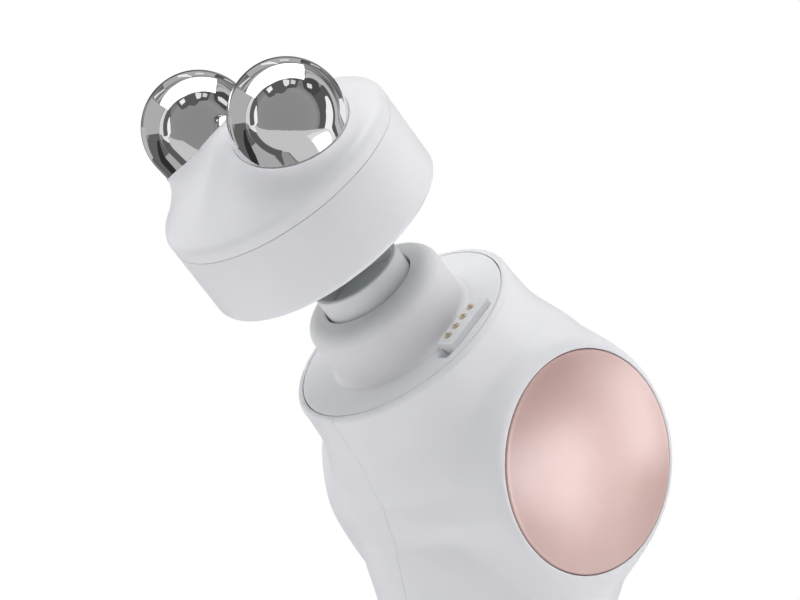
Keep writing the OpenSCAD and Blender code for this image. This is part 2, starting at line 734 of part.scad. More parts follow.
module shell_screws() {
    color(steel) at_posts() along_x(thread_len) rotate([180, 0, 0])
        screw(screw_head_r, screw_head_h, screw_r, seat_x - head_pocket + thread_len);
}

// Toning head: drum, cap with two ball sockets, electrodes and contact ring
ledge_z = 4.4;
ledge_t = 1.2;
inner_r = head_r - drum_wall;
ledge_r = inner_r - 4.1;
spigot_z = 12.2;
spigot_r = inner_r - 0.1;
spigot_wall = 2.2;
module head_housing() {
    color(white) on_head() difference() {
        rotate_extrude($fn = 128) difference() {
            union() {
                translate([0, drum_round]) square([head_r, drum_h - drum_round - 0.06]);
                square([head_r - drum_round, drum_h / 2]);
                translate([head_r - drum_round, drum_round]) circle(drum_round);
            }
            translate([-1, -1]) square([inner_r + 1, ledge_z + 1]);
            translate([-1, -1]) square([ledge_r + 1, drum_h + 2]);
            translate([-1, ledge_z + ledge_t]) square([inner_r + 1, drum_h]);
        }
        for (a = head_screw_angles) rotate([0, 0, a]) translate([head_screw_at, 0, ledge_z - 1])
            cylinder(r = head_shank_r + 0.02, h = ledge_t + 2, $fn = 24);
    }
}
// Cap: a rounded shoulder, then rings that sweep in and out again to a rim round both sockets
cap_steps = 72;
cap_side = 1.5;
shoulder = 2;
shoulder_turn = 54;
cap_rings = 8;
seam_r = ball_r + 0.15;
rim_w = 0.25;
low_pull = 1.15;
high_pull = 0.77;
flare = 21;
fold = -65;
fold_from = 48;
saddle = 3;
seam_x = ball_x - ball_sink * sin(ball_tilt);
rim_y = seam_r + rim_w;
rim_x = rim_y * cos(ball_tilt);
ridge_z = ball_h - ball_sink / cos(ball_tilt) + ball_x * tan(ball_tilt);
// The rim follows each socket up to wrap degrees, then crosses over to the other one
wrap = 128;
wrap_steps = 73;
cross_x = seam_x + rim_x * cos(wrap);
cross_y = rim_y * sin(wrap);
cross_slope = -rim_y / rim_x / tan(wrap);
waist = cross_y - cross_slope * cross_x / 2;
function sided(p, a) = [p[0] * sign(round(cos(a) * 1e6)), p[1] * sign(round(sin(a) * 1e6)), p[2]];
function turn_of(a) = acos(min(1, abs(cos(a))));
function rim_at(u) = let (
    v = (90 - u) / (90 - wrap_steps),
    p = u < wrap_steps
        ? [seam_x + rim_x * cos(wrap * u / wrap_steps), rim_y * sin(wrap * u / wrap_steps)]
        : [cross_x * v, waist + (cross_y - waist) * v * v])
    [p[0], p[1], ridge_z - norm([p[0], saddle]) * tan(ball_tilt)];
function rim_out(u) = let (
    v = (90 - u) / (90 - wrap_steps),
    n = u < wrap_steps
        ? [cos(wrap * u / wrap_steps) / rim_x, sin(wrap * u / wrap_steps) / rim_y, 0]
        : [-cross_slope * v, 1, 0])
    n / norm(n);
function rim_lean(u) = let (q = max(0, u - fold_from) / (90 - fold_from))
    flare + (fold - flare) * q * q * (3 - 2 * q);
function shoulder_point(a, b) = let (r = head_r - shoulder + shoulder * cos(b))
    [r * cos(a), r * sin(a), drum_h + cap_side + shoulder * sin(b)];
function cap_point(a, t) = let (
    u = turn_of(a),
    low = shoulder_point(a, shoulder_turn),
    top = sided(rim_at(u), a),
    leave = [-sin(shoulder_turn) * cos(a), -sin(shoulder_turn) * sin(a), cos(shoulder_turn)],
    arrive = sided(rim_out(u), a) * sin(rim_lean(u)) + [0, 0, cos(rim_lean(u))],
    pull = norm(top - low) * t * (1 - t),
    share = t * t * (3 - 2 * t))
    low * (1 - share) + top * share
        + pull * (low_pull * (1 - t) * leave - high_pull * t * arrive);
cap_points = concat(
    [for (k = [0:cap_steps - 1]) let (a = 360 * k / cap_steps)
        [head_r * cos(a), head_r * sin(a), drum_h]],
    [for (b = [0:shoulder_turn / 3:shoulder_turn + eps]) for (k = [0:cap_steps - 1])
        shoulder_point(360 * k / cap_steps, b)],
    [for (j = [1:cap_rings]) for (k = [0:cap_steps - 1])
        cap_point(360 * k / cap_steps, j / cap_rings)]);
cap_rows = 5 + cap_rings;
function cap_at(j, k) = j * cap_steps + k % cap_steps;
function across(j, k) = [cap_at(j, k), cap_at(j, k + 1),
    cap_at(j, cap_steps - k - 1), cap_at(j, cap_steps - k)];
half_steps = cap_steps / 2;
function lid(j) = [for (k = [1:half_steps - 2]) each quad(across(j, k)[0], across(j, k)[1],
                   across(j, k)[2], across(j, k)[3])];
function lid_ends(j) = [[cap_at(j, 0), cap_at(j, 1), cap_at(j, cap_steps - 1)],
    [cap_at(j, half_steps - 1), cap_at(j, half_steps), cap_at(j, half_steps + 1)]];
function turned(list) = [for (f = list) [f[2], f[1], f[0]]];
cap_faces = concat(
    [for (j = [0:cap_rows - 2]) for (k = [0:cap_steps - 1]) each
        quad(cap_at(j, k), cap_at(j + 1, k), cap_at(j + 1, k + 1), cap_at(j, k + 1))],
    turned(lid(cap_rows - 1)), turned(lid_ends(cap_rows - 1)),
    lid(0), lid_ends(0));
bay_r = 12;
bay_top = 17.8;
electrode_cut = 5.5;
post_len = 7.6;
module on_ball(side) {
    on_head() translate([side * ball_x, 0, ball_h]) rotate([0, side * ball_tilt, 0]) children();
}
skirt_top = 1.5;
skirt_in = 0.15;
skirt_h = 0.8;
module ball_space(gap) {
    intersection() {
        union() {
            sphere(ball_r + gap, $fn = 96);
            translate([0, 0, -ball_sink]) cylinder(r1 = seam_r + gap,
                r2 = ball_r + gap - skirt_in, h = ball_sink + skirt_top, $fn = 96);
            translate([0, 0, -ball_sink - skirt_h - gap])
                cylinder(r = seam_r + gap, h = skirt_h + gap, $fn = 96);
        }
        translate([0, 0, ball_r - electrode_cut - gap])
            cube([3 * ball_r, 3 * ball_r, 2 * ball_r], center = true);
    }
}
ball_gap = 0.08;
module head_cap() {
    color(white) difference() {
        on_head() {
            polyhedron(points = cap_points, faces = cap_faces, convexity = 6);
            translate([0, 0, spigot_z])
                cylinder(r = spigot_r, h = drum_h - spigot_z + 0.2, $fn = 128);
        }
        on_head() {
            translate([0, 0, spigot_z - 1]) cylinder(r = spigot_r - spigot_wall, h = 2.8);
            translate([0, 0, spigot_z]) cylinder(r = bay_r, h = bay_top - spigot_z);
        }
        for (side = [-1, 1]) on_ball(side) {
            ball_space(ball_gap);
            translate([0, 0, -post_len - 0.2]) cylinder(r = 1.6, h = post_len);
        }
    }
}
module electrode(side) {
    color(chrome) on_ball(side) {
        difference() {
            ball_space(0);
            sphere(ball_r - ball_wall, $fn = 96);
        }
        translate([0, 0, -post_len]) cylinder(r = 1.5, h = post_len + ball_r - ball_wall / 2);
    }
}
module electrode_right() {
    electrode(1);
}
module electrode_left() {
    electrode(-1);
}
board_low = 2.3;
head_board_t = 1.2;
contact_ring_r = neck_r + 1.1;
contact_ring_out = inner_r - 0.25;
head_screw_at = inner_r - 1.9;
head_shank_r = 0.5;
head_screw_angles = [90, 210, 330];
module head_ring(z, h) {
    difference() {
        translate([0, 0, z]) ring(contact_ring_out, contact_ring_r, h);
        for (a = head_screw_angles) rotate([0, 0, a]) translate([head_screw_at, 0, z - 1])
            cylinder(r = 0.7, h = h + 2, $fn = 24);
    }
}
module head_board() {
    color(green) on_head() head_ring(board_low, head_board_t);
}
module head_magnet_ring() {
    color(steel) on_head()
        head_ring(board_low + head_board_t, ledge_z - board_low - head_board_t);
}
module head_pads() {
    color(gold) on_head() for (i = [-1.5:1:1.5])
        translate([pin_x, pin_mid + i * pin_pitch, board_low - 0.1]) cylinder(r = 0.9, h = 0.1);
}
module head_screws() {
    color(steel) on_head() for (a = head_screw_angles) rotate([0, 0, a])
        translate([head_screw_at, 0, ledge_z + 0.8]) rotate([180, 0, 0])
            screw(1.1, 0.6, head_shank_r, ledge_z + 0.8 - board_low);
}

shell_right();
shell_left();
disc_right();
disc_left();
face_plate();
neck_housing();
dust_seal();
shaft_bush();
contact_block();
contact_sleeves();
contact_plungers();
arbor();
arbor_magnet();
drive_shaft();
yoke();
crank_wheel();
crank_bearing();
motor();
chassis();
battery();
battery_tabs();
main_board();
key_switches();
control_panel();
power_button();
mode_button();
indicator_lenses();
charge_port();
base_cap();
foot_pad();
shell_screws();
neck_screws();
base_screws();
head_housing();
head_cap();
electrode_right();
electrode_left();
head_board();
head_pads();
head_magnet_ring();
head_screws();
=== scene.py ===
# %% [markdown]
# # A facial toning device in a white studio
# The real object is a handheld massager: a white moulded body bent like a knee, a
# satin rose-coloured disc on each side, and a magnetic head with two chrome balls.
# The solids come from the CAD model. This lesson dresses them: the large moulded
# skins are made again as fine meshes, and everything gets a procedural finish.

import json
import math

import bpy
import numpy as np
from mathutils import Matrix, Vector


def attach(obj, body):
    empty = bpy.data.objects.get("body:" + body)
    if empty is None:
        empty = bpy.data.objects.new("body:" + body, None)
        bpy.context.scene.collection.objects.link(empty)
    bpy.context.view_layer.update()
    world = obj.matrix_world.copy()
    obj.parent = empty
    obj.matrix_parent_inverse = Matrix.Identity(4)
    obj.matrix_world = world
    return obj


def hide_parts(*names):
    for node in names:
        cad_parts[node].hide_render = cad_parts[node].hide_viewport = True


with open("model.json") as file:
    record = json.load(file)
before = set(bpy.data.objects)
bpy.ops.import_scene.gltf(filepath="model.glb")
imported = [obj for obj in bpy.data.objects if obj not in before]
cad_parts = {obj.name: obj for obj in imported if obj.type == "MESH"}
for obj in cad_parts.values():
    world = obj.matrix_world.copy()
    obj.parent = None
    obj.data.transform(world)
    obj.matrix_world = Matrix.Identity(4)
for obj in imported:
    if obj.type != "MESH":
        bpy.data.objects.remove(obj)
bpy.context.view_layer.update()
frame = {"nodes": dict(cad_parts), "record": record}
bpy.context.scene.view_settings.view_transform = "Standard"
MM = 0.001

# %% [markdown]
# The body is measured from three places, as in the CAD source: the foot, the axis of
# the two discs and the centre of the barrel's face. A point given along the barrel is
# easier to think about than one in room coordinates, so small helpers turn the first
# into the second. All sizes below are millimetres until a mesh is made.

# %% Places on the body
LEAN = math.radians(48)
BEND_H, BARREL_LEN, BEND_R = 96.5, 34.0, 34.0
BARREL = Vector((0, -math.sin(LEAN), math.cos(LEAN)))
ACROSS = Vector((0, math.cos(LEAN), math.sin(LEAN)))
SIDE = Vector((1, 0, 0))
CROSSING = Vector((0, 0, BEND_H))
FACE = CROSSING + BARREL * BARREL_LEN
DISC_CENTRE = CROSSING + BARREL * 2.0
HEAD_LIFT = 23.6
HEAD = FACE + BARREL * HEAD_LIFT
BALL_TILT = math.radians(21.5)


def on_barrel(x, y, z, origin=FACE):
    return origin + SIDE * x + ACROSS * y + BARREL * z


print("face centre", [round(v, 3) for v in FACE], "head", [round(v, 3) for v in HEAD])

# %% [markdown]
# The camera comes first, because every finish is judged through it. It stands at the
# photograph's viewing angle, a little below the head and far away with a long lens,
# so the two balls hardly change size with depth. It rolls by two and a half degrees.

# %% Camera
CAMERA_AT = Vector((0.357385, -0.320522, 0.095005))
CAMERA_RIGHT = Vector((0.637864, 0.768951, 0.042945))
CAMERA_UP = Vector((0.022284, -0.074166, 0.996997))
CAMERA_AWAY = Vector((-0.769827, 0.634991, 0.064443))

bpy.ops.object.camera_add(location=CAMERA_AT)
camera = bpy.context.object
camera.name = "camera"
turn = Matrix((CAMERA_RIGHT, CAMERA_UP, -CAMERA_AWAY)).transposed()
camera.rotation_euler = turn.to_euler()
camera.data.lens = 118.27
camera.data.sensor_width = 36
bpy.context.scene.camera = camera
print("camera at", [round(v, 3) for v in CAMERA_AT], "lens", camera.data.lens)

# %% [markdown]
# Small helpers do what a hand does over and over: let go of everything, go into edit
# mode, add a grid and lay it on a form. A primitive is only the start of each piece.

# %% Helpers for modelling
def let_go():
    if bpy.context.object and bpy.context.object.mode != "OBJECT":
        bpy.ops.object.mode_set(mode="OBJECT")
    bpy.ops.object.select_all(action="DESELECT")


def pick(piece):
    let_go()
    piece.select_set(True)
    bpy.context.view_layer.objects.active = piece


def edit(piece, *steps):
    """Runs edit-mode steps on all of a piece."""
    pick(piece)
    bpy.ops.object.mode_set(mode="EDIT")
    bpy.ops.mesh.select_all(action="SELECT")
    for step in steps:
        step()
    bpy.ops.object.mode_set(mode="OBJECT")


def weld(distance=0.004):
    return lambda: bpy.ops.mesh.remove_doubles(threshold=distance * MM)


def face_out():
    bpy.ops.mesh.normals_make_consistent(inside=False)


def close_holes():
    bpy.ops.mesh.select_all(action="DESELECT")
    bpy.ops.mesh.select_non_manifold()
    bpy.ops.mesh.fill_holes(sides=0)
    bpy.ops.mesh.select_all(action="SELECT")


def smooth(piece, angle=40):
    pick(piece)
    bpy.ops.object.shade_smooth_by_angle(angle=math.radians(angle))
    return piece


def sheet(name, columns, rows, place):
    """A grid with each crossing moved to place(column, row), in millimetres."""
    let_go()
    bpy.ops.mesh.primitive_grid_add(x_subdivisions=columns, y_subdivisions=rows, size=2)
    piece = bpy.context.object
    piece.name = piece.data.name = name
    spots = np.zeros(len(piece.data.vertices) * 3)
    piece.data.vertices.foreach_get("co", spots)
    spots = spots.reshape(-1, 3)
    for i, spot in enumerate(spots):
        column = round((spot[0] + 1) / 2 * columns)
        row = round((spot[1] + 1) / 2 * rows)
        spots[i] = np.array(place(column, row)) * MM
    piece.data.vertices.foreach_set("co", spots.ravel())
    piece.data.update()
    return piece


def turned(name, profile, origin=FACE, axis=BARREL, out=SIDE, steps=128):
    """Spins a profile of (radius, height) round an axis, as on a lathe."""
    let_go()
    bpy.ops.mesh.primitive_plane_add(size=0.1 * MM)
    piece = bpy.context.object
    piece.name = piece.data.name = name
    bpy.ops.object.mode_set(mode="EDIT")
    bpy.ops.mesh.merge(type="CENTER")
    spots = [(origin + out * r + axis * h) * MM for r, h in profile]
    bpy.ops.transform.translate(value=spots[0])
    for here, there in zip(spots, spots[1:]):
        bpy.ops.mesh.extrude_region_move(TRANSFORM_OT_translate={"value": there - here})
    bpy.ops.mesh.select_all(action="SELECT")
    bpy.ops.mesh.spin(steps=steps, angle=math.tau, center=origin * MM, axis=axis)
    bpy.ops.mesh.select_all(action="SELECT")
    bpy.ops.mesh.remove_doubles(threshold=0.003 * MM)
    face_out()
    bpy.ops.object.mode_set(mode="OBJECT")
    return piece


def arc(r, h, radius, start, end, count=6):
    """Points of a rounded edge about (r, h), angles in degrees from the radius."""
    angles = [math.radians(start + (end - start) * i / count) for i in range(count + 1)]
    return [(r + radius * math.cos(a), h + radius * math.sin(a)) for a in angles]


def cut(piece, *cutters):
    """Takes the cutters out of a piece and throws them away."""
    for cutter in cutters:
        pick(piece)
        carve = piece.modifiers.new("carve", "BOOLEAN")
        carve.operation, carve.solver, carve.object = "DIFFERENCE", "EXACT", cutter
        bpy.ops.object.modifier_apply(modifier=carve.name)
        bpy.data.objects.remove(cutter)
    return piece


def block(name, centre, size, round_by=0, axes=None):
    """A box with softened edges; axes are its own right, forward and up."""
    let_go()
    bpy.ops.mesh.primitive_cube_add(size=1)
    piece = bpy.context.object
    piece.name = piece.data.name = name
    axes = axes or (SIDE, Vector((0, 1, 0)), Vector((0, 0, 1)))
    place = Matrix(axes).transposed().to_4x4()
    place.translation = centre * MM
    scale = Matrix.Diagonal((*[s * MM for s in size], 1))
    piece.data.transform(place @ scale)
    if round_by:
        edit(piece, lambda: bpy.ops.mesh.bevel(offset=round_by * MM, segments=4,
                                               affect="EDGES"))
    return piece


def report(piece):
    print(f"{piece.name}: {len(piece.data.polygons)} faces, "
          f"box {[round(v * 1000, 1) for v in piece.dimensions]} mm")
    return piece


# %% [markdown]
# ## Finishes
# Nothing on this object is one flat colour. The white housings are injection moulded
# with a fine satin texture, so their gloss and height change over a tenth of a
# millimetre and their colour drifts slowly over centimetres. The discs are metallic
# lacquer with a visible sparkle. One recipe with a few named values makes them all:
# a slow noise for the colour, a fine one for the grain, and a bump from the grain.

# %% Finish recipe
def add_node(tree, kind, **values):
    node = tree.nodes.new(kind)
    for key, value in values.items():
        setattr(node, key, value)
    return node


def finish_recipe(name, light, shade, metal=0.0, gloss=(0.3, 0.4), drift=60,
                  grain=5000, bump=0.05, depth=0.02, stretch=(1, 1, 1), coat=0.0,
                  coat_gloss=(0.15, 1.5), glow_through=0.0):
    material = bpy.data.materials.new(name)
    material.use_nodes = True
    tree = material.node_tree
    shader = tree.nodes["Principled BSDF"]
    shader.inputs["Metallic"].default_value = metal
    shader.inputs["Coat Weight"].default_value = coat
    shader.inputs["Coat Roughness"].default_value = coat_gloss[0]
    shader.inputs["Coat IOR"].default_value = coat_gloss[1]
    shader.inputs["Subsurface Weight"].default_value = glow_through
    shader.inputs["Subsurface Scale"].default_value = 0.002
    where = add_node(tree, "ShaderNodeTexCoord")
    spread = add_node(tree, "ShaderNodeMapping")
    spread.inputs["Scale"].default_value = stretch
    tree.links.new(where.outputs["Object"], spread.inputs["Vector"])
    slow = add_node(tree, "ShaderNodeTexNoise")
    slow.inputs["Scale"].default_value = drift
    slow.inputs["Detail"].default_value = 3
    fine = add_node(tree, "ShaderNodeTexNoise")
    fine.inputs["Scale"].default_value = grain
    fine.inputs["Detail"].default_value = 2
    for noise in (slow, fine):
        tree.links.new(spread.outputs["Vector"], noise.inputs["Vector"])
    tint = add_node(tree, "ShaderNodeValToRGB")
    tint.color_ramp.elements[0].position, tint.color_ramp.elements[1].position = 0.35, 0.65
    tint.color_ramp.elements[0].color = (*shade, 1)
    tint.color_ramp.elements[1].color = (*light, 1)
    tree.links.new(slow.outputs["Fac"], tint.inputs["Fac"])
    tree.links.new(tint.outputs["Color"], shader.inputs["Base Color"])
    sheen = add_node(tree, "ShaderNodeMapRange")
    sheen.inputs["From Min"].default_value, sheen.inputs["From Max"].default_value = 0.3, 0.7
    sheen.inputs["To Min"].default_value, sheen.inputs["To Max"].default_value = gloss
    tree.links.new(fine.outputs["Fac"], sheen.inputs["Value"])
    tree.links.new(sheen.outputs["Result"], shader.inputs["Roughness"])
    relief = add_node(tree, "ShaderNodeBump")
    relief.inputs["Strength"].default_value = bump
    relief.inputs["Distance"].default_value = depth * MM
    tree.links.new(fine.outputs["Fac"], relief.inputs["Height"])
    tree.links.new(relief.outputs["Normal"], shader.inputs["Normal"])
    return material


# %% The finishes of this object
FINISH = {
    "white_plastic": finish_recipe(
        "satin_white_moulding", (0.80, 0.80, 0.825), (0.775, 0.775, 0.805),
        gloss=(0.33, 0.42), grain=6500, bump=0.12, depth=0.01),
    "grey_plastic": finish_recipe(
        "matt_pale_grey_moulding", (0.75, 0.745, 0.765), (0.725, 0.72, 0.74),
        gloss=(0.5, 0.62), grain=5200, bump=0.16, depth=0.012),
    "dark_plastic": finish_recipe(
        "dark_glass_filled_plastic", (0.045, 0.045, 0.05), (0.03, 0.03, 0.034),
        gloss=(0.45, 0.6), grain=4200, bump=0.3, depth=0.02),
    "chrome": finish_recipe(
        "polished_chrome", (0.90, 0.90, 0.91), (0.87, 0.87, 0.885), metal=1.0,
        gloss=(0.02, 0.035), grain=3000, bump=0.01, depth=0.002),
    "gold_contact": finish_recipe(
        "gold_plating", (0.86, 0.76, 0.60), (0.80, 0.68, 0.50), metal=0.9,
        gloss=(0.2, 0.3), grain=9000, bump=0.06, depth=0.004),
    "bronze": finish_recipe(
        "sintered_bronze", (0.50, 0.33, 0.16), (0.40, 0.25, 0.12), metal=1.0,
        gloss=(0.35, 0.5), grain=6000, bump=0.3, depth=0.02),
    "steel": finish_recipe(
        "ground_steel", (0.56, 0.56, 0.57), (0.48, 0.48, 0.49), metal=1.0,
        gloss=(0.2, 0.34), grain=3200, bump=0.12, depth=0.006, stretch=(0.15, 1, 1)),
    # The pale grey is partly the cup's own plastic tone and partly painted light that brightens
    # the shaded inside of the arbor's cup, where the magnet's face shows.
    "dark_steel": finish_recipe(
        "pale_steel_painted_light", (0.74, 0.75, 0.77), (0.68, 0.69, 0.71), metal=0.2,
        gloss=(0.4, 0.55), grain=5200, bump=0.15, depth=0.01),
    "dark_rubber": finish_recipe(
        "soft_dark_rubber", (0.035, 0.035, 0.037), (0.025, 0.025, 0.027),
        gloss=(0.6, 0.78), grain=3600, bump=0.35, depth=0.03),
    "cell_wrap": finish_recipe(
        "shrink_wrap", (0.05, 0.22, 0.20), (0.04, 0.18, 0.165),
        gloss=(0.25, 0.34), grain=1500, bump=0.1, depth=0.02, coat=0.3),
    "board_green": finish_recipe(
        "solder_mask", (0.03, 0.17, 0.075), (0.02, 0.12, 0.05),
        gloss=(0.2, 0.3), grain=2600, bump=0.15, depth=0.01, coat=0.4),
    "lens": finish_recipe(
        "milky_lens", (0.85, 0.86, 0.86), (0.80, 0.81, 0.82),
        gloss=(0.12, 0.2), grain=4000, bump=0.05, depth=0.005, glow_through=0.5),
    "rose_metal": finish_recipe(
        "rose_metallic_lacquer", (0.84, 0.565, 0.525), (0.81, 0.53, 0.49), metal=0.8,
        gloss=(0.6, 0.74), drift=140, grain=7000, bump=0.35, depth=0.012, coat=1.0,
        coat_gloss=(0.35, 2.8)),
}
SLOT_OF = {part["node"]: part["material_slot"] for part in frame["record"]["subparts"]}


def dress(piece, slot):
    piece.data.materials.clear()
    piece.data.materials.append(FINISH[slot])
    return piece


for node, solid in frame["nodes"].items():
    dress(solid, SLOT_OF[node])
print("finishes:", ", ".join(FINISH))

# %% [markdown]
# ## The body's skin
# The real body is two thin moulded shells that meet on the middle plane. Their form
# is a loft: sections that grow from the round barrel into a broad knuckle and shrink
# again into the grip, strung along a bent spine, with a level land round each disc.
# Extruding that by hand would leave facets in the highlights, so a fine grid is laid
# on the same rules that the CAD loft uses. Each shell is closed, with its real wall.

# %% Sections along the spine
BEND_T = BEND_R * math.tan(LEAN / 2)
ARC_LEN = BEND_R * LEAN
ARC_S = BARREL_LEN - BEND_T
BASE_SEAM = 5.0
HANDLE_S = ARC_S + ARC_LEN
SPINE_LEN = HANDLE_S + BEND_H - BEND_T - BASE_SEAM
KNUCKLE_S = BARREL_LEN - 2.0
WAIST_S = HANDLE_S + 14
RIM_R, GRIP_R, FOOT_R, WALL = 22.1, 19.6, 17.9, 1.8
DISC_R, DISC_X, DISC_RISE, SEAT_X = 19.7, 24.6, 3.2, 22.6
FACE_R, FACE_T, PARTING_GAP = 20.7, 2.1, 0.08
# distance, depth to the throat, depth to the back, half width, squareness of each side
SECTIONS = [
    (0, RIM_R, RIM_R, RIM_R, 2, 2),
    (KNUCKLE_S / 4, RIM_R + 0.4, RIM_R + 0.5, RIM_R + 0.7, 2, 2),
    (KNUCKLE_S * 0.56, RIM_R + 2.3, RIM_R + 1.9, RIM_R + 4.1, 2.15, 2.5),
    (KNUCKLE_S, 25.3, 27.2, 26.2, 2.5, 2.8),
    (KNUCKLE_S + 14, GRIP_R + 4.7, GRIP_R + 2, GRIP_R + 6.6, 2, 2),
    (WAIST_S, GRIP_R + 0.5, GRIP_R + 0.4, GRIP_R + 1.2, 2, 2),
    (WAIST_S + 6, GRIP_R, GRIP_R, GRIP_R, 2, 2),
    (SPINE_LEN - 22, GRIP_R, GRIP_R, GRIP_R, 2, 2),
    (SPINE_LEN, FOOT_R, FOOT_R, FOOT_R, 2, 2),
]


def rise(column, i):
    a, b = SECTIONS[i], SECTIONS[i + 1]
    return (b[column] - a[column]) / (b[0] - a[0])


def slope(column, i):
    if i in (0, len(SECTIONS) - 1):
        return 0
    a, b = rise(column, i - 1), rise(column, i)
    return 0 if a * b <= 0 else 2 * a * b / (a + b)


def section(column, s):
    """A column of the section list, smoothly in between."""
    i = max(k for k in range(len(SECTIONS) - 1) if k == 0 or s >= SECTIONS[k][0])
    a, b = SECTIONS[i], SECTIONS[i + 1]
    gap = b[0] - a[0]
    t = (s - a[0]) / gap
    return (a[column] * (1 + 2 * t) * (1 - t) ** 2 + b[column] * t * t * (3 - 2 * t)
            + gap * (slope(column, i) * t * (1 - t) ** 2
                     - slope(column, i + 1) * t * t * (1 - t)))


def tilt(s):
    if s <= ARC_S:
        return LEAN
    return 0 if s >= HANDLE_S else LEAN * (1 - (s - ARC_S) / ARC_LEN)


def spine(s):
    if s <= ARC_S:
        along = BARREL_LEN - s
        return -along * math.sin(LEAN), BEND_H + along * math.cos(LEAN)
    if s >= HANDLE_S:
        return 0, BEND_H - BEND_T - (s - HANDLE_S)
    return (-BEND_T * math.sin(LEAN) + BEND_R * (math.cos(tilt(s)) - math.cos(LEAN)),
            BEND_H + BEND_T * math.cos(LEAN) + BEND_R * (math.sin(tilt(s)) - math.sin(LEAN)))


def power(c, n):
    return math.copysign(abs(c) ** (2 / n), c)


def fade(r, near, far):
    t = min(max((r - near) / (far - near), 0), 1)
    return 1 - t * t * (3 - 2 * t)


def rounding(distance, radius):
    """How far an edge is drawn in at a distance from it, for a quarter-round."""
    if distance >= radius:
        return 0
    return radius - math.sqrt(radius ** 2 - (radius - distance) ** 2)


print("spine length", round(SPINE_LEN, 2), "mm")

# %% Lay a fine grid on the loft
LIP_DEPTH = FACE_T + 0.5
BACK_SIDE, FRONT_SIDE = 2, 1


def skin(s, angle, drawn_in, inner):
    side = BACK_SIDE if math.sin(angle) > 0 else FRONT_SIDE
    n = section(side + 3, s)
    x = (section(3, s) - drawn_in) * max(power(math.cos(angle), n), 0)
    v = (section(side, s) - drawn_in) * power(math.sin(angle), n)
    y, z = spine(s)
    y, z = y + v * math.cos(tilt(s)), z + v * math.sin(tilt(s))
    r = math.hypot(y - DISC_CENTRE.y, z - DISC_CENTRE.z)
    if inner:
        level, weight = SEAT_X - 1.5, fade(r, DISC_R + 1.3, DISC_R + 3.6)
    else:
        level = DISC_X - 0.12 * max(0, r - DISC_R)
        weight = fade(r, DISC_R + 0.5, DISC_R + 5.4)
    x += weight * (level - x) * (1 if x > 1 else x)
    return PARTING_GAP / 2 + x, y, z


LIP_ROUND, FOOT_ROUND = 0.9, 0.25
outer_s = [0, 0.02, 0.06, 0.13, 0.24, 0.38, 0.54, 0.72, 0.9, 1.2]
outer_s += list(np.arange(1.8, SPINE_LEN - FOOT_ROUND, 0.7))
outer_s += [SPINE_LEN - f for f in (0.25, 0.15, 0.07, 0.02, 0)]
inner_s = list(np.arange(SPINE_LEN, LIP_DEPTH + 1, -2.2)) + [LIP_DEPTH + 1, LIP_DEPTH + 0.05]


def outer_row(s):
    return s, rounding(s, LIP_ROUND) + rounding(SPINE_LEN - s, FOOT_ROUND), False


rim_in = RIM_R - FACE_R - 0.15
ROWS = [outer_row(s) for s in outer_s]
ROWS += [(s, WALL, True) for s in inner_s]
ROWS += [(s, rim_in, True) for s in (LIP_DEPTH - 0.05, 0.3, 0.12)]
ROWS += [(0.04, rim_in - 0.03, True), (0.01, rim_in - 0.08, True), (0, rim_in - 0.14, True)]
ROWS += [ROWS[0]]
EDGE_COLUMNS = [(0.0, 0.12), (0.03, 0.06), (0.1, 0.02), (0.3, 0)]
MIDDLE = 108
COLUMNS = [(-90 + d, tuck) for d, tuck in EDGE_COLUMNS]
COLUMNS += [(-90 + 180 * i / MIDDLE, 0) for i in range(1, MIDDLE)]
COLUMNS += [(90 - d, tuck) for d, tuck in reversed(EDGE_COLUMNS)]


def shell_spot(column, row):
    s, drawn_in, inner = ROWS[row]
    angle, tuck = COLUMNS[column]
    return skin(s, math.radians(angle), drawn_in + (0 if inner else tuck), inner)


shell_right = sheet("skin_right", len(COLUMNS) - 1, len(ROWS) - 1, shell_spot)
edit(shell_right, weld(0.001), close_holes, face_out)
report(shell_right)

# %% [markdown]
# The openings are cut as a toolmaker would cut them: a round seat for the disc with a
# softened mouth, the stepped window of the control panel, and the slot of the port.

# %% Openings in the shells
MOUTH_SOFT = 0.18


def flared(radius, depth, top):
    """The profile of a cutter whose mouth is rounded outwards at a given height."""
    wide = radius + MOUTH_SOFT
    return ([(0, depth), (radius, depth), (radius, top - MOUTH_SOFT)]
            + arc(wide, top - MOUTH_SOFT, MOUTH_SOFT, 180, 90, 4)[1:]
            + [(wide + 0.3, top + 0.01), (wide + 0.3, top + 6), (0, top + 6)])


def plate_cutter(name, width, height, corner, near, far, mid):
    """A prism with rounded corners that points to the back."""
    piece = block(name, Vector((0, (near + far) / 2, mid)), (width, far - near, height))
    pick(piece)
    bpy.ops.object.mode_set(mode="EDIT")
    bpy.ops.mesh.select_all(action="DESELECT")
    bpy.ops.object.mode_set(mode="OBJECT")
    for edge in piece.data.edges:
        a, b = (piece.data.vertices[v].co for v in edge.vertices)
        edge.select = abs(a.y - b.y) > 1 * MM
    bpy.ops.object.mode_set(mode="EDIT")
    bpy.ops.mesh.select_mode(type="EDGE")
    bpy.ops.mesh.bevel(offset=corner * MM, segments=8, affect="EDGES")
    bpy.ops.mesh.select_mode(type="VERT")
    bpy.ops.object.mode_set(mode="OBJECT")
    return piece


PANEL_MID, PANEL_W, PANEL_LEN, PANEL_CORNER, PANEL_R = 46.0, 13.0, 34.0, 4.0, 18.5
FIT_GAP, PANEL_LEDGE = 0.1, 1.6
PORT_Z, PORT_W, PORT_H = 14.0, 9.0, 3.2
CUT_NEAR, CUT_FAR = 4, 30
UP = Vector((0, 0, 1))

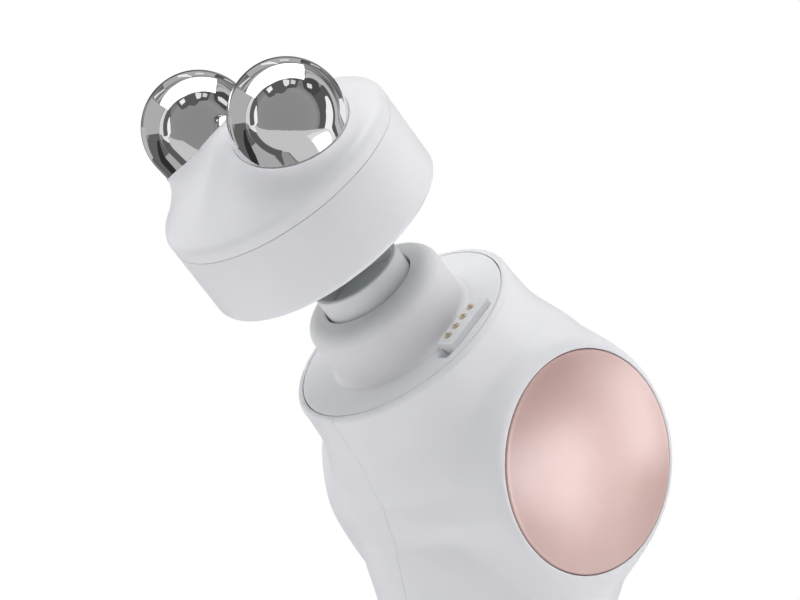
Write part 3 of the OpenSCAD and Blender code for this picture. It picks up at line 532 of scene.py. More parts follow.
seat_cutter = turned("seat_cutter", flared(DISC_R + 0.15, SEAT_X, DISC_X - 0.02),
                     DISC_CENTRE, SIDE, BARREL, 180)
core = turned("core", [(0, 20), (PANEL_R, 20), (PANEL_R, 70), (0, 70)],
              Vector((0, 0, 0)), UP, SIDE, 180)
step_cutter = plate_cutter("step_cutter", PANEL_W + 2 * FIT_GAP, PANEL_LEN + 2 * FIT_GAP,
                           PANEL_CORNER, CUT_NEAR, CUT_FAR, PANEL_MID)
cut(step_cutter, core)
window_cutter = plate_cutter("window_cutter", PANEL_W - 2 * PANEL_LEDGE,
                             PANEL_LEN - 2 * PANEL_LEDGE, PANEL_CORNER - PANEL_LEDGE,
                             CUT_NEAR, CUT_FAR, PANEL_MID)
port_cutter = plate_cutter("port_cutter", PORT_W + 2 * FIT_GAP, PORT_H + 2 * FIT_GAP,
                           (PORT_H + 2 * FIT_GAP) / 2 - 0.01, CUT_NEAR, CUT_FAR, PORT_Z)
cut(shell_right, seat_cutter, step_cutter, window_cutter, port_cutter)
smooth(shell_right, 32)
report(shell_right)

# %% The left shell is a mirrored copy with its own mesh
let_go()
shell_left = shell_right.copy()
shell_left.data = shell_right.data.copy()
bpy.context.collection.objects.link(shell_left)
shell_left.name = shell_left.data.name = "skin_left"
edit(shell_left,
     lambda: bpy.ops.transform.resize(value=(-1, 1, 1), center_override=(0, 0, 0)),
     face_out)
smooth(shell_left, 32)
for piece, node in ((shell_right, "shell_right"), (shell_left, "shell_left")):
    dress(piece, "white_plastic")
    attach(piece, "body")
    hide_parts(node)

# %% [markdown]
# ## Discs
# Each disc is a shallow pressed dome with a rolled rim, coated in rose lacquer that
# sparkles. A lathe profile gives the crown, the small radius at its rim and the
# hollow behind it. The lathe turns about the axis that joins the two discs.

# %% Side discs
DOME_R = (DISC_R ** 2 + DISC_RISE ** 2) / (2 * DISC_RISE)
DOME_MID = DISC_X + DISC_RISE - DOME_R
DISC_WALL, RIM_SOFT = 1.2, 0.35


def dome(radius, edge, rings):
    """Points from the middle of the crown out to a radius."""
    return [(edge * i / rings, DOME_MID + math.sqrt(radius ** 2 - (edge * i / rings) ** 2))
            for i in range(rings + 1)]


inner_edge = DISC_R - DISC_WALL
outside = dome(DOME_R, DISC_R - RIM_SOFT, 36)
rim_top = outside[-1][1] - RIM_SOFT
disc_profile = (outside + arc(DISC_R - RIM_SOFT, rim_top, RIM_SOFT, 80, 0, 5)
                + [(DISC_R, SEAT_X), (inner_edge, SEAT_X)]
                + dome(DOME_R - DISC_WALL, inner_edge, 12)[::-1])
for name, node, way in (("rose_disc_right", "disc_right", 1), ("rose_disc_left", "disc_left", -1)):
    disc = turned(name, disc_profile, DISC_CENTRE, SIDE * way, BARREL, 160)
    report(dress(smooth(disc, 50), "rose_metal"))
    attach(disc, "body")
    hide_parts(node)

# %% [markdown]
# ## Face plate, neck and arbor
# The plate that closes the barrel is set in with a hairline of shadow round it. The
# neck is a matt grey drum with a puffed shoulder, and the arbor slides in and out of
# it. All three are lathe work. The window for the contacts is cut into the plate.

# %% Face plate
NECK_R, NECK_H, NECK_ROUND = 13.4, 10.9, 3.0
PLATE_HOLE = NECK_R + 0.55
plate = turned("front_plate", [(PLATE_HOLE, -FACE_T), (FACE_R, -FACE_T), (FACE_R, -0.14)]
               + arc(FACE_R - 0.14, -0.14, 0.14, 0, 90, 4)[1:]
               + [(PLATE_HOLE + 0.05, 0), (PLATE_HOLE, -0.05), (PLATE_HOLE, -FACE_T)])
BLOCK_IN, BLOCK_OUT, PIN_MID, PIN_PITCH, PIN_X = NECK_R + 1, 18.6, 1.2, 2.35, 15.8
BLOCK_LEN = 3 * PIN_PITCH + 4.2
BARREL_AXES = (SIDE, ACROSS, BARREL)
window = block("window", on_barrel((BLOCK_IN + BLOCK_OUT) / 2, PIN_MID, -1),
               (BLOCK_OUT - BLOCK_IN + 0.2, BLOCK_LEN + 0.2, 6), 0.9, BARREL_AXES)
notch = block("notch", on_barrel(BLOCK_IN + 2.3, PIN_MID - BLOCK_LEN / 2 - 0.7, 0.2),
              (2.9, 2.9, 2.8), 0.5, BARREL_AXES)
cut(plate, window, notch)
report(dress(smooth(plate, 32), "white_plastic"))
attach(plate, "body")
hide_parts("face_plate")

# %% Neck
ARBOR_R, ARBOR_TOP, ARBOR_GAP = 8.45, 15.0, 0.4
bore = ARBOR_R + ARBOR_GAP
NECK_FOOT, FLANGE_R, FLANGE_T, GUIDE_R = 1.3, 19.6, 2, 6.5
flange_top = -FACE_T - 0.02
neck_profile = ([(bore, -1), (bore, NECK_H - 0.35)]
                + arc(bore + 0.35, NECK_H - 0.35, 0.35, 180, 90, 4)[1:]
                + arc(NECK_R - NECK_ROUND, NECK_H - NECK_ROUND, NECK_ROUND, 90, 0, 14)
                + arc(NECK_R + NECK_FOOT, NECK_FOOT + 0.01, NECK_FOOT, 180, 270, 12)
                + [(NECK_R + 0.4, 0), (NECK_R + 0.4, flange_top),
                   (FLANGE_R, flange_top), (FLANGE_R, -FACE_T - FLANGE_T),
                   (GUIDE_R, -FACE_T - FLANGE_T), (GUIDE_R, -1), (bore, -1)])
neck = turned("neck_drum", neck_profile)
report(dress(smooth(neck, 45), "grey_plastic"))
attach(neck, "body")
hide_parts("neck_housing")

# %% Arbor
SOCKET_R, ARBOR_LOW = 7.6, 3.2
socket_floor = ARBOR_TOP - 6.0
arbor = turned("arbor_cup", [(SOCKET_R, socket_floor), (SOCKET_R, ARBOR_TOP - 0.25)]
               + arc(SOCKET_R + 0.2, ARBOR_TOP - 0.25, 0.2, 180, 90, 4)[1:]
               + arc(ARBOR_R - 0.35, ARBOR_TOP - 0.4, 0.35, 90, 0, 6)
               + [(ARBOR_R, ARBOR_LOW), (0, ARBOR_LOW), (0, socket_floor),
                  (SOCKET_R, socket_floor)])
report(dress(smooth(arbor, 45), "grey_plastic"))
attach(arbor, "striker")
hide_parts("arbor")

# %% [markdown]
# ## Contacts
# Beside the neck a small white ledge carries four gold spring pins. The ledge starts as
# a block, loses its outer side and both ends to slanted cuts, and has its edges rolled.
# Each pin is a domed plunger in a rolled sleeve, turned four times down the row.

# %% Contact ledge and pins
BLOCK_TOP, SLEEVE_R, PIN_R, PIN_TOP = 1.2, 0.78, 0.42, 1.8
PIN_STEPS, HOLE_END = 32, 3
hole_r = SLEEVE_R + 0.02
BLOCK_W, BLOCK_SLOPE, BLOCK_END, BLOCK_LOW = BLOCK_OUT - BLOCK_IN, 1.5, 0.5, 0.15
block_mid = (BLOCK_IN + BLOCK_OUT) / 2
ledge = block("contact_ledge", on_barrel(block_mid, PIN_MID, (BLOCK_TOP - FACE_T) / 2),
              (BLOCK_W, BLOCK_LEN, BLOCK_TOP + FACE_T), 0, BARREL_AXES)


def slanted(foot, way, lean):
    """A block whose lower face starts at foot and rises back over the ledge."""
    rise = (BARREL - way * lean).normalized()
    out = (way + BARREL * lean).normalized()
    along = out.cross(rise)
    return block("slant", foot + out * 4, (8, 16, 16), 0, (out, along, rise))


cut(ledge, slanted(on_barrel(BLOCK_OUT, PIN_MID, BLOCK_LOW), SIDE, BLOCK_SLOPE),
    *[slanted(on_barrel(block_mid, PIN_MID + end, BLOCK_LOW),
              ACROSS * math.copysign(1, end), BLOCK_END)
      for end in (0.7 - BLOCK_LEN / 2, BLOCK_LEN / 2)])
roll = ledge.modifiers.new("roll", "BEVEL")
roll.width, roll.segments, roll.limit_method = 0.3 * MM, 4, "ANGLE"
pick(ledge)
bpy.ops.object.modifier_apply(modifier=roll.name)
pin_rows = [on_barrel(PIN_X, PIN_MID + i * PIN_PITCH, 0) for i in (-1.5, -0.5, 0.5, 1.5)]
cut(ledge, *[turned("hole", [(0, -HOLE_END), (hole_r, -HOLE_END), (hole_r, HOLE_END),
                             (0, HOLE_END)], spot, steps=PIN_STEPS) for spot in pin_rows])
report(dress(smooth(ledge, 40), "white_plastic"))
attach(ledge, "body")
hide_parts("contact_block")


def row_of(name, profile):
    """One turned piece at each pin, joined into a single row."""
    parts = [turned(name, profile, spot, steps=PIN_STEPS) for spot in pin_rows]
    let_go()
    for part in parts:
        part.select_set(True)
    bpy.context.view_layer.objects.active = parts[0]
    bpy.ops.object.join()
    parts[0].name = parts[0].data.name = name
    return smooth(parts[0], 45)


sleeve_top = BLOCK_TOP + 0.12
sleeves = row_of("pin_sleeves", [(PIN_R + 0.04, -FACE_T), (SLEEVE_R, -FACE_T),
                                 (SLEEVE_R, sleeve_top - 0.12)]
                 + arc((SLEEVE_R + PIN_R) / 2 + 0.02, sleeve_top - 0.12, 0.18, 0, 180, 6)
                 + [(PIN_R + 0.04, -FACE_T)])
plungers = row_of("pin_plungers", [(0, -1.2), (PIN_R, -1.2), (PIN_R, PIN_TOP - PIN_R)]
                  + arc(0, PIN_TOP - PIN_R, PIN_R, 0, 90, 8)[1:])
for piece, node, body in ((sleeves, "contact_sleeves", "body"),
                          (plungers, "contact_plungers", "contacts")):
    report(dress(piece, "gold_contact"))
    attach(piece, body)
    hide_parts(node)

# %% [markdown]
# ## The toning head
# The head is a round drum closed by a cap. The cap is a loft again: a soft shoulder,
# then rings that sweep in and out to a rim. The rim goes round each ball's socket and
# crosses over between them at a narrow waist, where the wall folds softly inwards. The
# sockets are cut out of it, and below them the bay that the arbor enters.

# %% Drum of the head
HEAD_R, DRUM_H, DRUM_ROUND, DRUM_WALL = 22.5, 14.1, 1.4, 2.0
inner_r = HEAD_R - DRUM_WALL
drum = turned("head_drum", arc(HEAD_R - DRUM_ROUND, DRUM_ROUND, DRUM_ROUND, -90, 0, 12)
              + [(HEAD_R, DRUM_H - 0.2)]
              + arc(HEAD_R - 0.14, DRUM_H - 0.2, 0.14, 0, 90, 4)[1:]
              + [(inner_r, DRUM_H - 0.06), (inner_r, 0.3), (inner_r + 0.3, 0),
                 (HEAD_R - DRUM_ROUND, 0)], HEAD)
report(dress(smooth(drum, 40), "white_plastic"))
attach(drum, "head")

# %% Cap of the head
BALL_R, BALL_X, BALL_H, BALL_SINK = 10.0, 12.5, 25.7, 1.7
CAP_SIDE, SHOULDER, TURN, SADDLE = 1.5, 2.0, math.radians(54), 3.0
LOW_PULL, HIGH_PULL = 1.15, 0.77
FLARE, FOLD, FOLD_FROM = math.radians(21), math.radians(-65), math.radians(48)
SEAM_R = BALL_R + 0.15
SEAM_X = BALL_X - BALL_SINK * math.sin(BALL_TILT)
RIM_Y = SEAM_R + 0.25
RIM_X = RIM_Y * math.cos(BALL_TILT)
RIDGE_Z = BALL_H - BALL_SINK / math.cos(BALL_TILT) + BALL_X * math.tan(BALL_TILT)
WRAP, WRAP_UP_TO = math.radians(128), math.radians(73)
CROSS_X, CROSS_Y = SEAM_X + RIM_X * math.cos(WRAP), RIM_Y * math.sin(WRAP)
CROSS_SLOPE = -RIM_Y / RIM_X / math.tan(WRAP)
WAIST = CROSS_Y - CROSS_SLOPE * CROSS_X / 2
AROUND, QUARTER = 240, math.radians(90)


def eased(q):
    q = min(max(q, 0), 1)
    return q * q * (3 - 2 * q)


def top_height(x):
    return RIDGE_Z - math.hypot(x, SADDLE) * math.tan(BALL_TILT)


def rim(angle):
    """The rim's point and outward direction, and how far its wall folds inwards."""
    right = 1 if math.cos(angle) >= 0 else -1
    back = 1 if math.sin(angle) >= 0 else -1
    u = math.acos(min(1, abs(math.cos(angle))))
    if u < WRAP_UP_TO:
        phi = WRAP * u / WRAP_UP_TO
        x, y = SEAM_X + RIM_X * math.cos(phi), RIM_Y * math.sin(phi)
        out = Vector((math.cos(phi) / RIM_X, math.sin(phi) / RIM_Y))
    else:
        v = (QUARTER - u) / (QUARTER - WRAP_UP_TO)
        x, y = CROSS_X * v, WAIST + (CROSS_Y - WAIST) * v * v
        out = Vector((-CROSS_SLOPE * v, 1))
    out.normalize()
    return (Vector((x * right, y * back, top_height(x))), Vector((out.x * right, out.y * back, 0)),
            eased((u - FOLD_FROM) / (QUARTER - FOLD_FROM)))


def lip_ends(fold):
    """Shares of the wall and of the lid where the lip begins and ends."""
    return 0.985 - 0.12 * fold, 0.992 - 0.35 * fold


def wall(angle, t):
    c, s = math.cos(angle), math.sin(angle)
    r = HEAD_R - SHOULDER + SHOULDER * math.cos(TURN)
    low = Vector((r * c, r * s, DRUM_H + CAP_SIDE + SHOULDER * math.sin(TURN)))
    top, out, fold = rim(angle)
    lean = FLARE + (FOLD - FLARE) * fold
    leave = Vector((-math.sin(TURN) * c, -math.sin(TURN) * s, math.cos(TURN)))
    arrive = out * math.sin(lean) + Vector((0, 0, math.cos(lean)))
    pull = (top - low).length * t * (1 - t)
    return low.lerp(top, eased(t)) + (leave * LOW_PULL * (1 - t) - arrive * HIGH_PULL * t) * pull


def lid(angle, share):
    """On the lid, at a share of the way from its middle line out to the rim."""
    top = rim(angle)[0]
    return Vector((top.x, top.y * share, top.z))


def lip(angle, t):
    """Rolls the edge between wall and lid, softly over the waist and finely elsewhere."""
    top, _, fold = rim(angle)
    start, end = lip_ends(fold)
    before, after = wall(angle, start), lid(angle, end)
    return before.lerp(top, t).lerp(top.lerp(after, t), t)


def cap_spot(column, row):
    angle = math.tau * column / AROUND
    kind, value = CAP_ROWS[row]
    if kind == "ring":
        r, z = value
        spot = Vector((r * math.cos(angle), r * math.sin(angle), z))
    elif kind == "wall":
        spot = wall(angle, value * lip_ends(rim(angle)[2])[0])
    elif kind == "lip":
        spot = lip(angle, value)
    else:
        spot = lid(angle, value * lip_ends(rim(angle)[2])[1])
    return on_barrel(*spot, HEAD)


CAP_ROWS = [("ring", (HEAD_R - 1.2, DRUM_H))]
CAP_ROWS += [("ring", p) for p in arc(HEAD_R - 0.12, DRUM_H + 0.13, 0.12, -90, 0, 4)]
CAP_ROWS += [("ring", p) for p in arc(HEAD_R - SHOULDER, DRUM_H + CAP_SIDE, SHOULDER,
                                      0, math.degrees(TURN), 10)]
CAP_ROWS += [("wall", i / 36) for i in range(1, 37)]
CAP_ROWS += [("lip", i / 5) for i in range(1, 6)]
CAP_ROWS += [("lid", u) for u in (0.97, 0.93, 0.87, 0.8, 0.65, 0.5, 0.35, 0.2, 0.1, 0)]
cap = sheet("head_cap_skin", AROUND, len(CAP_ROWS) - 1, cap_spot)
edit(cap, weld(0.002), close_holes, face_out)

ball_centres = {way: on_barrel(way * BALL_X, 0, BALL_H, HEAD) for way in (1, -1)}
ball_axes = {way: SIDE * way * math.sin(BALL_TILT) + BARREL * math.cos(BALL_TILT)
             for way in (1, -1)}
BALL_GAP, LIP_SOFT, SKIRT_H, ELECTRODE_CUT = 0.04, 0.06, 0.8, 5.5
mouth = SEAM_R + BALL_GAP
socket_profile = ([(0, -7.7), (1.6, -7.7), (1.6, -ELECTRODE_CUT - 0.1),
                   (8.5, -ELECTRODE_CUT - 0.1), (9.6, -3.4), (mouth, -BALL_SINK - SKIRT_H - 0.1)]
                  + arc(mouth + LIP_SOFT, -BALL_SINK - LIP_SOFT, LIP_SOFT, 180, 90, 4)
                  + [(mouth + LIP_SOFT + 0.05, -BALL_SINK + 0.03),
                     (mouth + LIP_SOFT + 0.05, 8), (0, 8)])
BAY_R, BAY_TOP = 12, 17.8
bay = turned("bay", [(0, DRUM_H - 1), (BAY_R, DRUM_H - 1), (BAY_R, BAY_TOP), (0, BAY_TOP)],
             HEAD)
cut(cap, bay, *[turned("socket", socket_profile, ball_centres[way], ball_axes[way], ACROSS,
                       192) for way in (1, -1)])
report(dress(smooth(cap, 38), "white_plastic"))
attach(cap, "head")
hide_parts("head_cap")
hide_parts("head_housing")

# %% [markdown]
# ## Electrode balls
# The balls are polished chrome. Each is a ball that widens a little into a short skirt
# at its socket, turned in one piece with its fixing post. A mirror shows every facet,
# so the profile and the turns are fine, and the skirt leaves the ball at its tangent.

# %% Chrome balls
TANGENT = (math.acos(BALL_R / math.hypot(SEAM_R, BALL_SINK))
           - math.atan2(BALL_SINK, SEAM_R))
ball_profile = ([(0, -7.5), (1.45, -7.5), (1.45, -ELECTRODE_CUT), (8.3, -ELECTRODE_CUT),
                 (9.4, -3.3), (SEAM_R, -BALL_SINK - SKIRT_H), (SEAM_R, -BALL_SINK)]
                + arc(0, 0, BALL_R, math.degrees(TANGENT), 90, 96))


def chrome_ball(name, way):
    ball = turned(name, ball_profile, ball_centres[way], ball_axes[way], ACROSS, 224)
    return smooth(ball, 40)


for name, node, way in (("chrome_ball_right", "electrode_right", 1),
                        ("chrome_ball_left", "electrode_left", -1)):
    ball = report(dress(chrome_ball(name, way), "chrome"))
    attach(ball, "head")
    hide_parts(node)

# %% [markdown]
# ## Studio
# The photograph has a pure white background. The world and the far floor show white
# to the camera at a strength of one, while the light that falls on the object stays
# soft. Their mask also lets mirrors and glass see that white. Chrome that sees only
# white looks like porcelain, though, so the floor is hidden from reflections, and a
# dark room with white windows stands round the head, which only reflections see.

# %% Floor and world
def light_path_mask(tree):
    """One where a ray comes from the camera, a mirror or glass, and zero elsewhere."""
    path = add_node(tree, "ShaderNodeLightPath")
    seen = path.outputs["Is Camera Ray"]
    for kind in ("Is Glossy Ray", "Is Transmission Ray"):
        most = add_node(tree, "ShaderNodeMath", operation="MAXIMUM")
        tree.links.new(seen, most.inputs[0])
        tree.links.new(path.outputs[kind], most.inputs[1])
        seen = most.outputs[0]
    return seen


world = bpy.data.worlds.new("studio")
bpy.context.scene.world = world
world.use_nodes = True
sky = world.node_tree
fill = sky.nodes["Background"]
fill.inputs["Color"].default_value = (0.93, 0.95, 1.0, 1)
fill.inputs["Strength"].default_value = 0.08
backdrop = add_node(sky, "ShaderNodeBackground")
backdrop.inputs["Color"].default_value = (1, 1, 1, 1)
backdrop.inputs["Strength"].default_value = 1.0
choose = add_node(sky, "ShaderNodeMixShader")
sky.links.new(light_path_mask(sky), choose.inputs["Fac"])
sky.links.new(fill.outputs[0], choose.inputs[1])
sky.links.new(backdrop.outputs[0], choose.inputs[2])
sky.links.new(choose.outputs[0], sky.nodes["World Output"].inputs["Surface"])

let_go()
bpy.ops.mesh.primitive_plane_add(size=8)
floor = bpy.context.object
floor.name = "floor"
floor_paint = bpy.data.materials.new("white_paper")
floor_paint.use_nodes = True
ground = floor_paint.node_tree
paper = ground.nodes["Principled BSDF"]
paper.inputs["Base Color"].default_value = (0.93, 0.93, 0.94, 1)
paper.inputs["Roughness"].default_value = 0.8
white_out = add_node(ground, "ShaderNodeEmission")
white_out.inputs["Strength"].default_value = 1.0
spot = add_node(ground, "ShaderNodeTexCoord")
reach = add_node(ground, "ShaderNodeVectorMath", operation="LENGTH")
ground.links.new(spot.outputs["Object"], reach.inputs[0])
spread = add_node(ground, "ShaderNodeMapRange", interpolation_type="SMOOTHSTEP")
for key, value in (("From Min", 0.05), ("From Max", 0.42), ("To Min", 0.3), ("To Max", 1.0)):
    spread.inputs[key].default_value = value
ground.links.new(reach.outputs["Value"], spread.inputs["Value"])
share = add_node(ground, "ShaderNodeMath", operation="MULTIPLY")
ground.links.new(spread.outputs["Result"], share.inputs[0])
ground.links.new(light_path_mask(ground), share.inputs[1])
mix = add_node(ground, "ShaderNodeMixShader")
ground.links.new(share.outputs[0], mix.inputs["Fac"])
ground.links.new(paper.outputs[0], mix.inputs[1])
ground.links.new(white_out.outputs[0], mix.inputs[2])
ground.links.new(mix.outputs[0], ground.nodes["Material Output"].inputs["Surface"])
floor.data.materials.append(floor_paint)
floor.visible_glossy = False

# %% Lamps
AIM = Vector((0, -0.02, 0.11))
LAMP_DISTANCE, LAMP_SIZE = 0.9, 0.8


def direction(right, up, near):
    """A direction seen from the camera: to its right, up, and towards it."""
    return (CAMERA_RIGHT * right + CAMERA_UP * up - CAMERA_AWAY * near).normalized()


def softbox(name, way, watts, colour=(1, 1, 1)):
    bpy.ops.object.light_add(type="AREA", location=AIM + way * LAMP_DISTANCE)
    lamp = bpy.context.object
    lamp.name = name
    lamp.rotation_euler = (-way).to_track_quat("-Z", "Y").to_euler()
    lamp.data.shape = "RECTANGLE"
    lamp.data.size = lamp.data.size_y = LAMP_SIZE
    lamp.data.energy = watts
    lamp.data.color = colour
    lamp.visible_glossy = False


let_go()
softbox("top_box", direction(0, 1.0, 0.1), 5.6, (1, 1, 0.985))
softbox("right_box", direction(1.0, 0.1, -0.2), 5.3, (1, 1, 0.99))
softbox("back_right_box", direction(0.6, 0.8, -0.6), 2.0, (1, 1, 0.985))
softbox("back_left_box", direction(-0.8, 0.3, -0.6), 4.9)
softbox("left_box", direction(-0.75, 0.65, 0.1), 1.5, (0.97, 0.98, 1))
softbox("front_top_box", direction(0, 0.8, 0.7), 1.4, (0.98, 0.99, 1))
softbox("front_fill", direction(0.1, 0, 1.0), 0.6, (0.95, 0.97, 1))

# %% [markdown]
# The room is a sphere round the right ball, and the windows are patches of smaller
# ones. A mirror ball shows the whole room on its face: the direction at an angle p
# from the line of sight lies at the share sin(p / 2) of the ball's radius. So each
# patch is laid down by its share and its bearing. The patches and the rings of light
# and dark on the room's wall were drawn from tones read off the reflections in the
# photograph's right ball. A stretched noise breaks the rings up. Two small patches
# close to the right disc give it the soft highlights of the photograph.

# %% Room and windows that only reflections see
ROOM_CENTRE = ball_centres[1] * MM
ROOM_AWAY = (ROOM_CENTRE - CAMERA_AT).normalized()
ROOM_RIGHT = ROOM_AWAY.cross(CAMERA_UP).normalized()
ROOM_UP = ROOM_RIGHT.cross(ROOM_AWAY)
FULL_SHARE, HALF_TURN = 0.9995, 180


def way_out(bearing, share):
    """The direction a mirror ball reflects at a bearing and a share of its radius."""
    p, turn = 2 * math.asin(min(share, FULL_SHARE)), math.radians(bearing)
    return (ROOM_RIGHT * math.cos(turn) * math.sin(p) - ROOM_AWAY * math.cos(p)
            + ROOM_UP * math.sin(turn) * math.sin(p))


def edge(*points):
    """A broken line through (bearing, share) points, or one share for all bearings."""
    return lambda b: float(np.interp(b, *zip(*points)))


def patch(name, ends, near, far, paint, distance=1.2, fine=24, centre=ROOM_CENTRE):
    """A patch over a range of bearings, from its near line to its far line."""
    def place(column, row):
        bearing = ends[0] + (ends[1] - ends[0]) * column / fine
        share = near(bearing) + (far(bearing) - near(bearing)) * row / fine
        return (centre + way_out(bearing, share) * distance) / MM

    piece = sheet(name, fine, fine, place)
    piece.data.materials.append(paint)
    for kind in ("camera", "diffuse", "transmission", "shadow", "volume_scatter"):
        setattr(piece, "visible_" + kind, False)


def glow(level):
    paint = bpy.data.materials.new(f"glow_{level}")
    paint.use_nodes = True
    tree = paint.node_tree
    tree.nodes.remove(tree.nodes["Principled BSDF"])
    light = add_node(tree, "ShaderNodeEmission")
    light.inputs["Color"].default_value = (1, 1, 1, 1)
    light.inputs["Strength"].default_value = level
    tree.links.new(light.outputs[0], tree.nodes["Material Output"].inputs["Surface"])
    return paint


def scaled(tree, source, low, high, start, end):
    node = add_node(tree, "ShaderNodeMapRange")
    for key, value in zip(("From Min", "From Max", "To Min", "To Max"), (low, high, start, end)):
        node.inputs[key].default_value = value
    tree.links.new(source, node.inputs["Value"])
    return node.outputs["Result"]


def room_paint(rings):
    """Grey levels by share of radius, with streaks along the bearing further out."""
    paint = glow(1.0)
    tree = paint.node_tree
    light = next(n for n in tree.nodes if n.type == "EMISSION")
    where = add_node(tree, "ShaderNodeTexCoord")
    split = add_node(tree, "ShaderNodeSeparateXYZ")
    tree.links.new(where.outputs["UV"], split.inputs["Vector"])
    spread = add_node(tree, "ShaderNodeMapping")
    spread.inputs["Scale"].default_value = (9, 26, 1)
    tree.links.new(where.outputs["UV"], spread.inputs["Vector"])
    streak = add_node(tree, "ShaderNodeTexNoise")
    streak.inputs["Scale"].default_value = 1.0
    streak.inputs["Detail"].default_value = 2
    tree.links.new(spread.outputs["Vector"], streak.inputs["Vector"])
    level = add_node(tree, "ShaderNodeValToRGB")
    ramp = level.color_ramp
    while len(ramp.elements) < len(rings):
        ramp.elements.new(0.5)
    for stop, (share, grey) in zip(ramp.elements, rings):
        stop.position, stop.color = share, (grey, grey, grey, 1)
    tree.links.new(split.outputs["Y"], level.inputs["Fac"])
    tree.links.new(level.outputs["Color"], light.inputs["Color"])
    mix = add_node(tree, "ShaderNodeMix", data_type="FLOAT")
    tree.links.new(scaled(tree, split.outputs["Y"], 0.55, 0.75, 0.0, 1.0), mix.inputs[0])
    mix.inputs[2].default_value = 1.0
    tree.links.new(scaled(tree, streak.outputs["Fac"], 0.32, 0.68, 0.3, 1.9), mix.inputs[3])
    tree.links.new(mix.outputs[0], light.inputs["Strength"])
    return paint


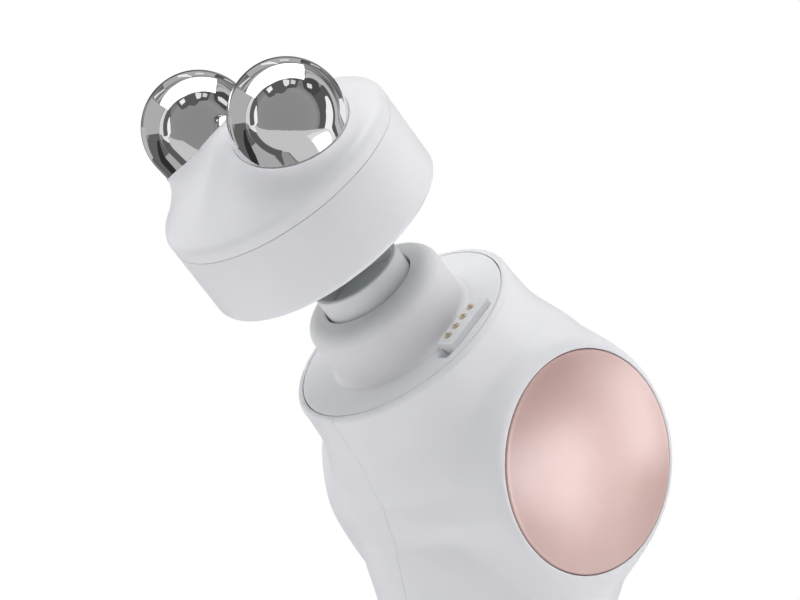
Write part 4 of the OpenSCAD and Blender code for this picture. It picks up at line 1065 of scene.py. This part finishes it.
RINGS = ((0.0, 0.27), (0.38, 0.28), (0.47, 0.30), (0.56, 0.20), (0.63, 0.20), (0.74, 0.32),
         (0.82, 0.30), (0.89, 0.24), (0.94, 0.17), (1.0, 0.16))
patch("room", (-HALF_TURN, HALF_TURN), edge((0, 0.001)), edge((0, FULL_SHARE)),
      room_paint(RINGS), 1.6, 96)
PATCHES = (
    # name, level, distance, bearings, near line, far line
    ("table", 0.60, 1.3, (195, 345),
     ((195, 0.52), (200, 0.50), (210, 0.41), (225, 0.30), (240, 0.245), (270, 0.215),
      (300, 0.25), (315, 0.31), (330, 0.42), (340, 0.55), (345, 0.68)),
     ((195, 0.60), (205, 0.575), (240, 0.55), (270, 0.57), (300, 0.64), (312, 0.70),
      (330, 0.80), (345, 0.75))),
    ("table_end", 0.78, 1.28, (316, 346),
     ((316, 0.44), (330, 0.50), (346, 0.69)), ((316, 0.74), (330, 0.83), (346, 0.76))),
    ("table_corner", 0.85, 1.28, (190, 206), ((190, 0.55), (206, 0.54)),
     ((190, 0.64), (198, 0.62), (206, 0.57))),
    ("under_table", 0.11, 1.29, (198, 262), ((198, 0.56), (262, 0.55)),
     ((198, 0.66), (262, 0.655))),
    ("under_table_right", 0.32, 1.32, (262, 313), ((262, 0.56), (313, 0.69)),
     ((262, 0.655), (290, 0.675), (313, 0.73))),
    ("low_wall", 0.43, 1.34, (220, 318), ((220, 0.655), (290, 0.67), (318, 0.74)),
     ((220, 0.83), (240, 0.97), (318, 0.97))),
    ("low_dark", 0.13, 1.36, (184, 226), ((184, 0.68), (226, 0.67)),
     ((184, 0.84), (200, 0.92), (226, 0.95))),
    ("low_streak", 0.03, 1.27, (197, 247), ((197, 0.70), (222, 0.76), (247, 0.89)),
     ((197, 0.735), (222, 0.87), (247, 0.93))),
    ("low_light", 0.50, 1.26, (180, 212), ((180, 0.89), (212, 0.93)),
     ((180, 0.985), (212, 0.985))),
    ("dark_trees", 0.11, 1.3, (88, 133),
     ((88, 0.46), (95, 0.40), (103, 0.385), (109, 0.405), (114, 0.42), (122, 0.40), (133, 0.42)),
     ((88, 0.60), (133, 0.58))),
    ("dark_frame", 0.09, 1.29, (72, 88), ((72, 0.50), (88, 0.46)), ((72, 0.67), (88, 0.63))),
    ("dark_side", 0.07, 1.3, (38, 66), ((38, 0.56), (50, 0.53), (60, 0.545), (66, 0.62)),
     ((38, 0.70), (50, 0.765), (60, 0.73), (66, 0.69))),
    ("right_gap", 0.10, 1.31, (-22, 42), ((-22, 0.545), (10, 0.54), (42, 0.54)),
     ((-22, 0.66), (10, 0.66), (42, 0.79))),
    ("right_line_gap", 0.10, 1.31, (-16, 40), ((-16, 0.74), (40, 0.72)),
     ((-16, 0.80), (40, 0.80))),
    ("right_strip", 0.95, 1.2, (-16, 28), ((-16, 0.64), (8, 0.642), (20, 0.68), (28, 0.70)),
     ((-16, 0.75), (5, 0.757), (20, 0.755), (28, 0.74))),
    ("right_streak", 0.52, 1.25, (-16, 66), ((-16, 0.79), (40, 0.79), (55, 0.76), (66, 0.71)),
     ((-16, 0.835), (40, 0.835), (55, 0.82), (66, 0.79))),
    ("edge_strip", 0.90, 1.2, (-10, 19), ((-10, 0.975), (-3, 0.89), (5, 0.87), (19, 0.90)),
     ((-10, 0.985), (10, 0.975), (19, 0.95))),
    ("edge_gap", 0.01, 1.2, (-22, -6), ((-22, 0.86), (-12, 0.85), (-6, 0.88)),
     ((-22, 0.91), (-12, 0.965), (-6, 0.975))),
    ("arc_box", 1.7, 1.2, (65, 150), ((65, 0.665), (90, 0.625), (115, 0.59), (150, 0.60)),
     ((65, 0.67), (72, 0.895), (90, 0.875), (110, 0.85), (140, 0.795), (150, 0.77))),
    ("window_a", 1.0, 1.2, (117, 127), ((117, 0.50), (127, 0.48)), ((117, 0.565), (127, 0.555))),
    ("window_b", 0.85, 1.2, (86, 96), ((86, 0.53), (90, 0.50), (94, 0.50), (96, 0.56)),
     ((86, 0.60), (96, 0.61))),
    ("window_c", 0.72, 1.2, (76, 83.5), ((76, 0.545), (83.5, 0.54)),
     ((76, 0.605), (83.5, 0.61))),
    ("window_d", 0.80, 1.2, (49, 59), ((49, 0.605), (55, 0.585), (59, 0.63)),
     ((49, 0.63), (53, 0.665), (59, 0.64))),
    ("rim_band", 0.44, 1.28, (76, 133), ((76, 0.905), (133, 0.875)), ((76, 0.97), (133, 0.97))),
    ("rim_a", 0.95, 1.2, (100, 116), ((100, 0.875), (116, 0.935)),
     ((100, 0.89), (107, 0.945), (116, 0.96))),
    ("rim_b", 0.75, 1.2, (88, 97), ((88, 0.915), (97, 0.915)), ((88, 0.945), (97, 0.945))),
    ("rim_c", 0.6, 1.2, (56, 66), ((56, 0.955), (66, 0.94)), ((56, 0.97), (66, 0.965))),
    ("rim_d", 0.9, 1.2, (133, 148), ((133, 0.865), (148, 0.90)), ((133, 0.88), (148, 0.925))),
    ("left_strip", 1.0, 1.2, (160, 196),
     ((160, 0.515), (172, 0.485), (180, 0.475), (190, 0.48), (196, 0.52)),
     ((160, 0.53), (172, 0.535), (190, 0.53), (196, 0.55))),
    ("left_gap", 0.12, 1.25, (146, 194), ((146, 0.575), (160, 0.50), (180, 0.465), (194, 0.50)),
     ((146, 0.60), (194, 0.61))),
    ("left_line", 0.75, 1.2, (150, 190), ((150, 0.605), (190, 0.605)),
     ((150, 0.65), (190, 0.67))),
    ("left_haze", 0.46, 1.3, (150, 188), ((150, 0.66), (188, 0.67)), ((150, 0.95), (188, 0.95))),
)
for name, level, distance, ends, near, far in PATCHES:
    patch(name, ends, edge(*near), edge(*far), glow(level), distance)
disc_middle = (DISC_CENTRE + SIDE * (DISC_X + DISC_RISE)) * MM
CARD_DISTANCE, CARD_FINE = 0.06, 12
CARDS = (("disc_card", 1.8, (-30, 24), 0.12, 0.60),
         ("disc_edge_card", 1.7, (-4, 34), 0.74, 0.86))
for name, level, ends, near, far in CARDS:
    patch(name, ends, edge((0, near)), edge((0, far)), glow(level), CARD_DISTANCE,
          CARD_FINE, disc_middle)
print("room:", len(PATCHES), "patches and", len(CARDS), "cards")
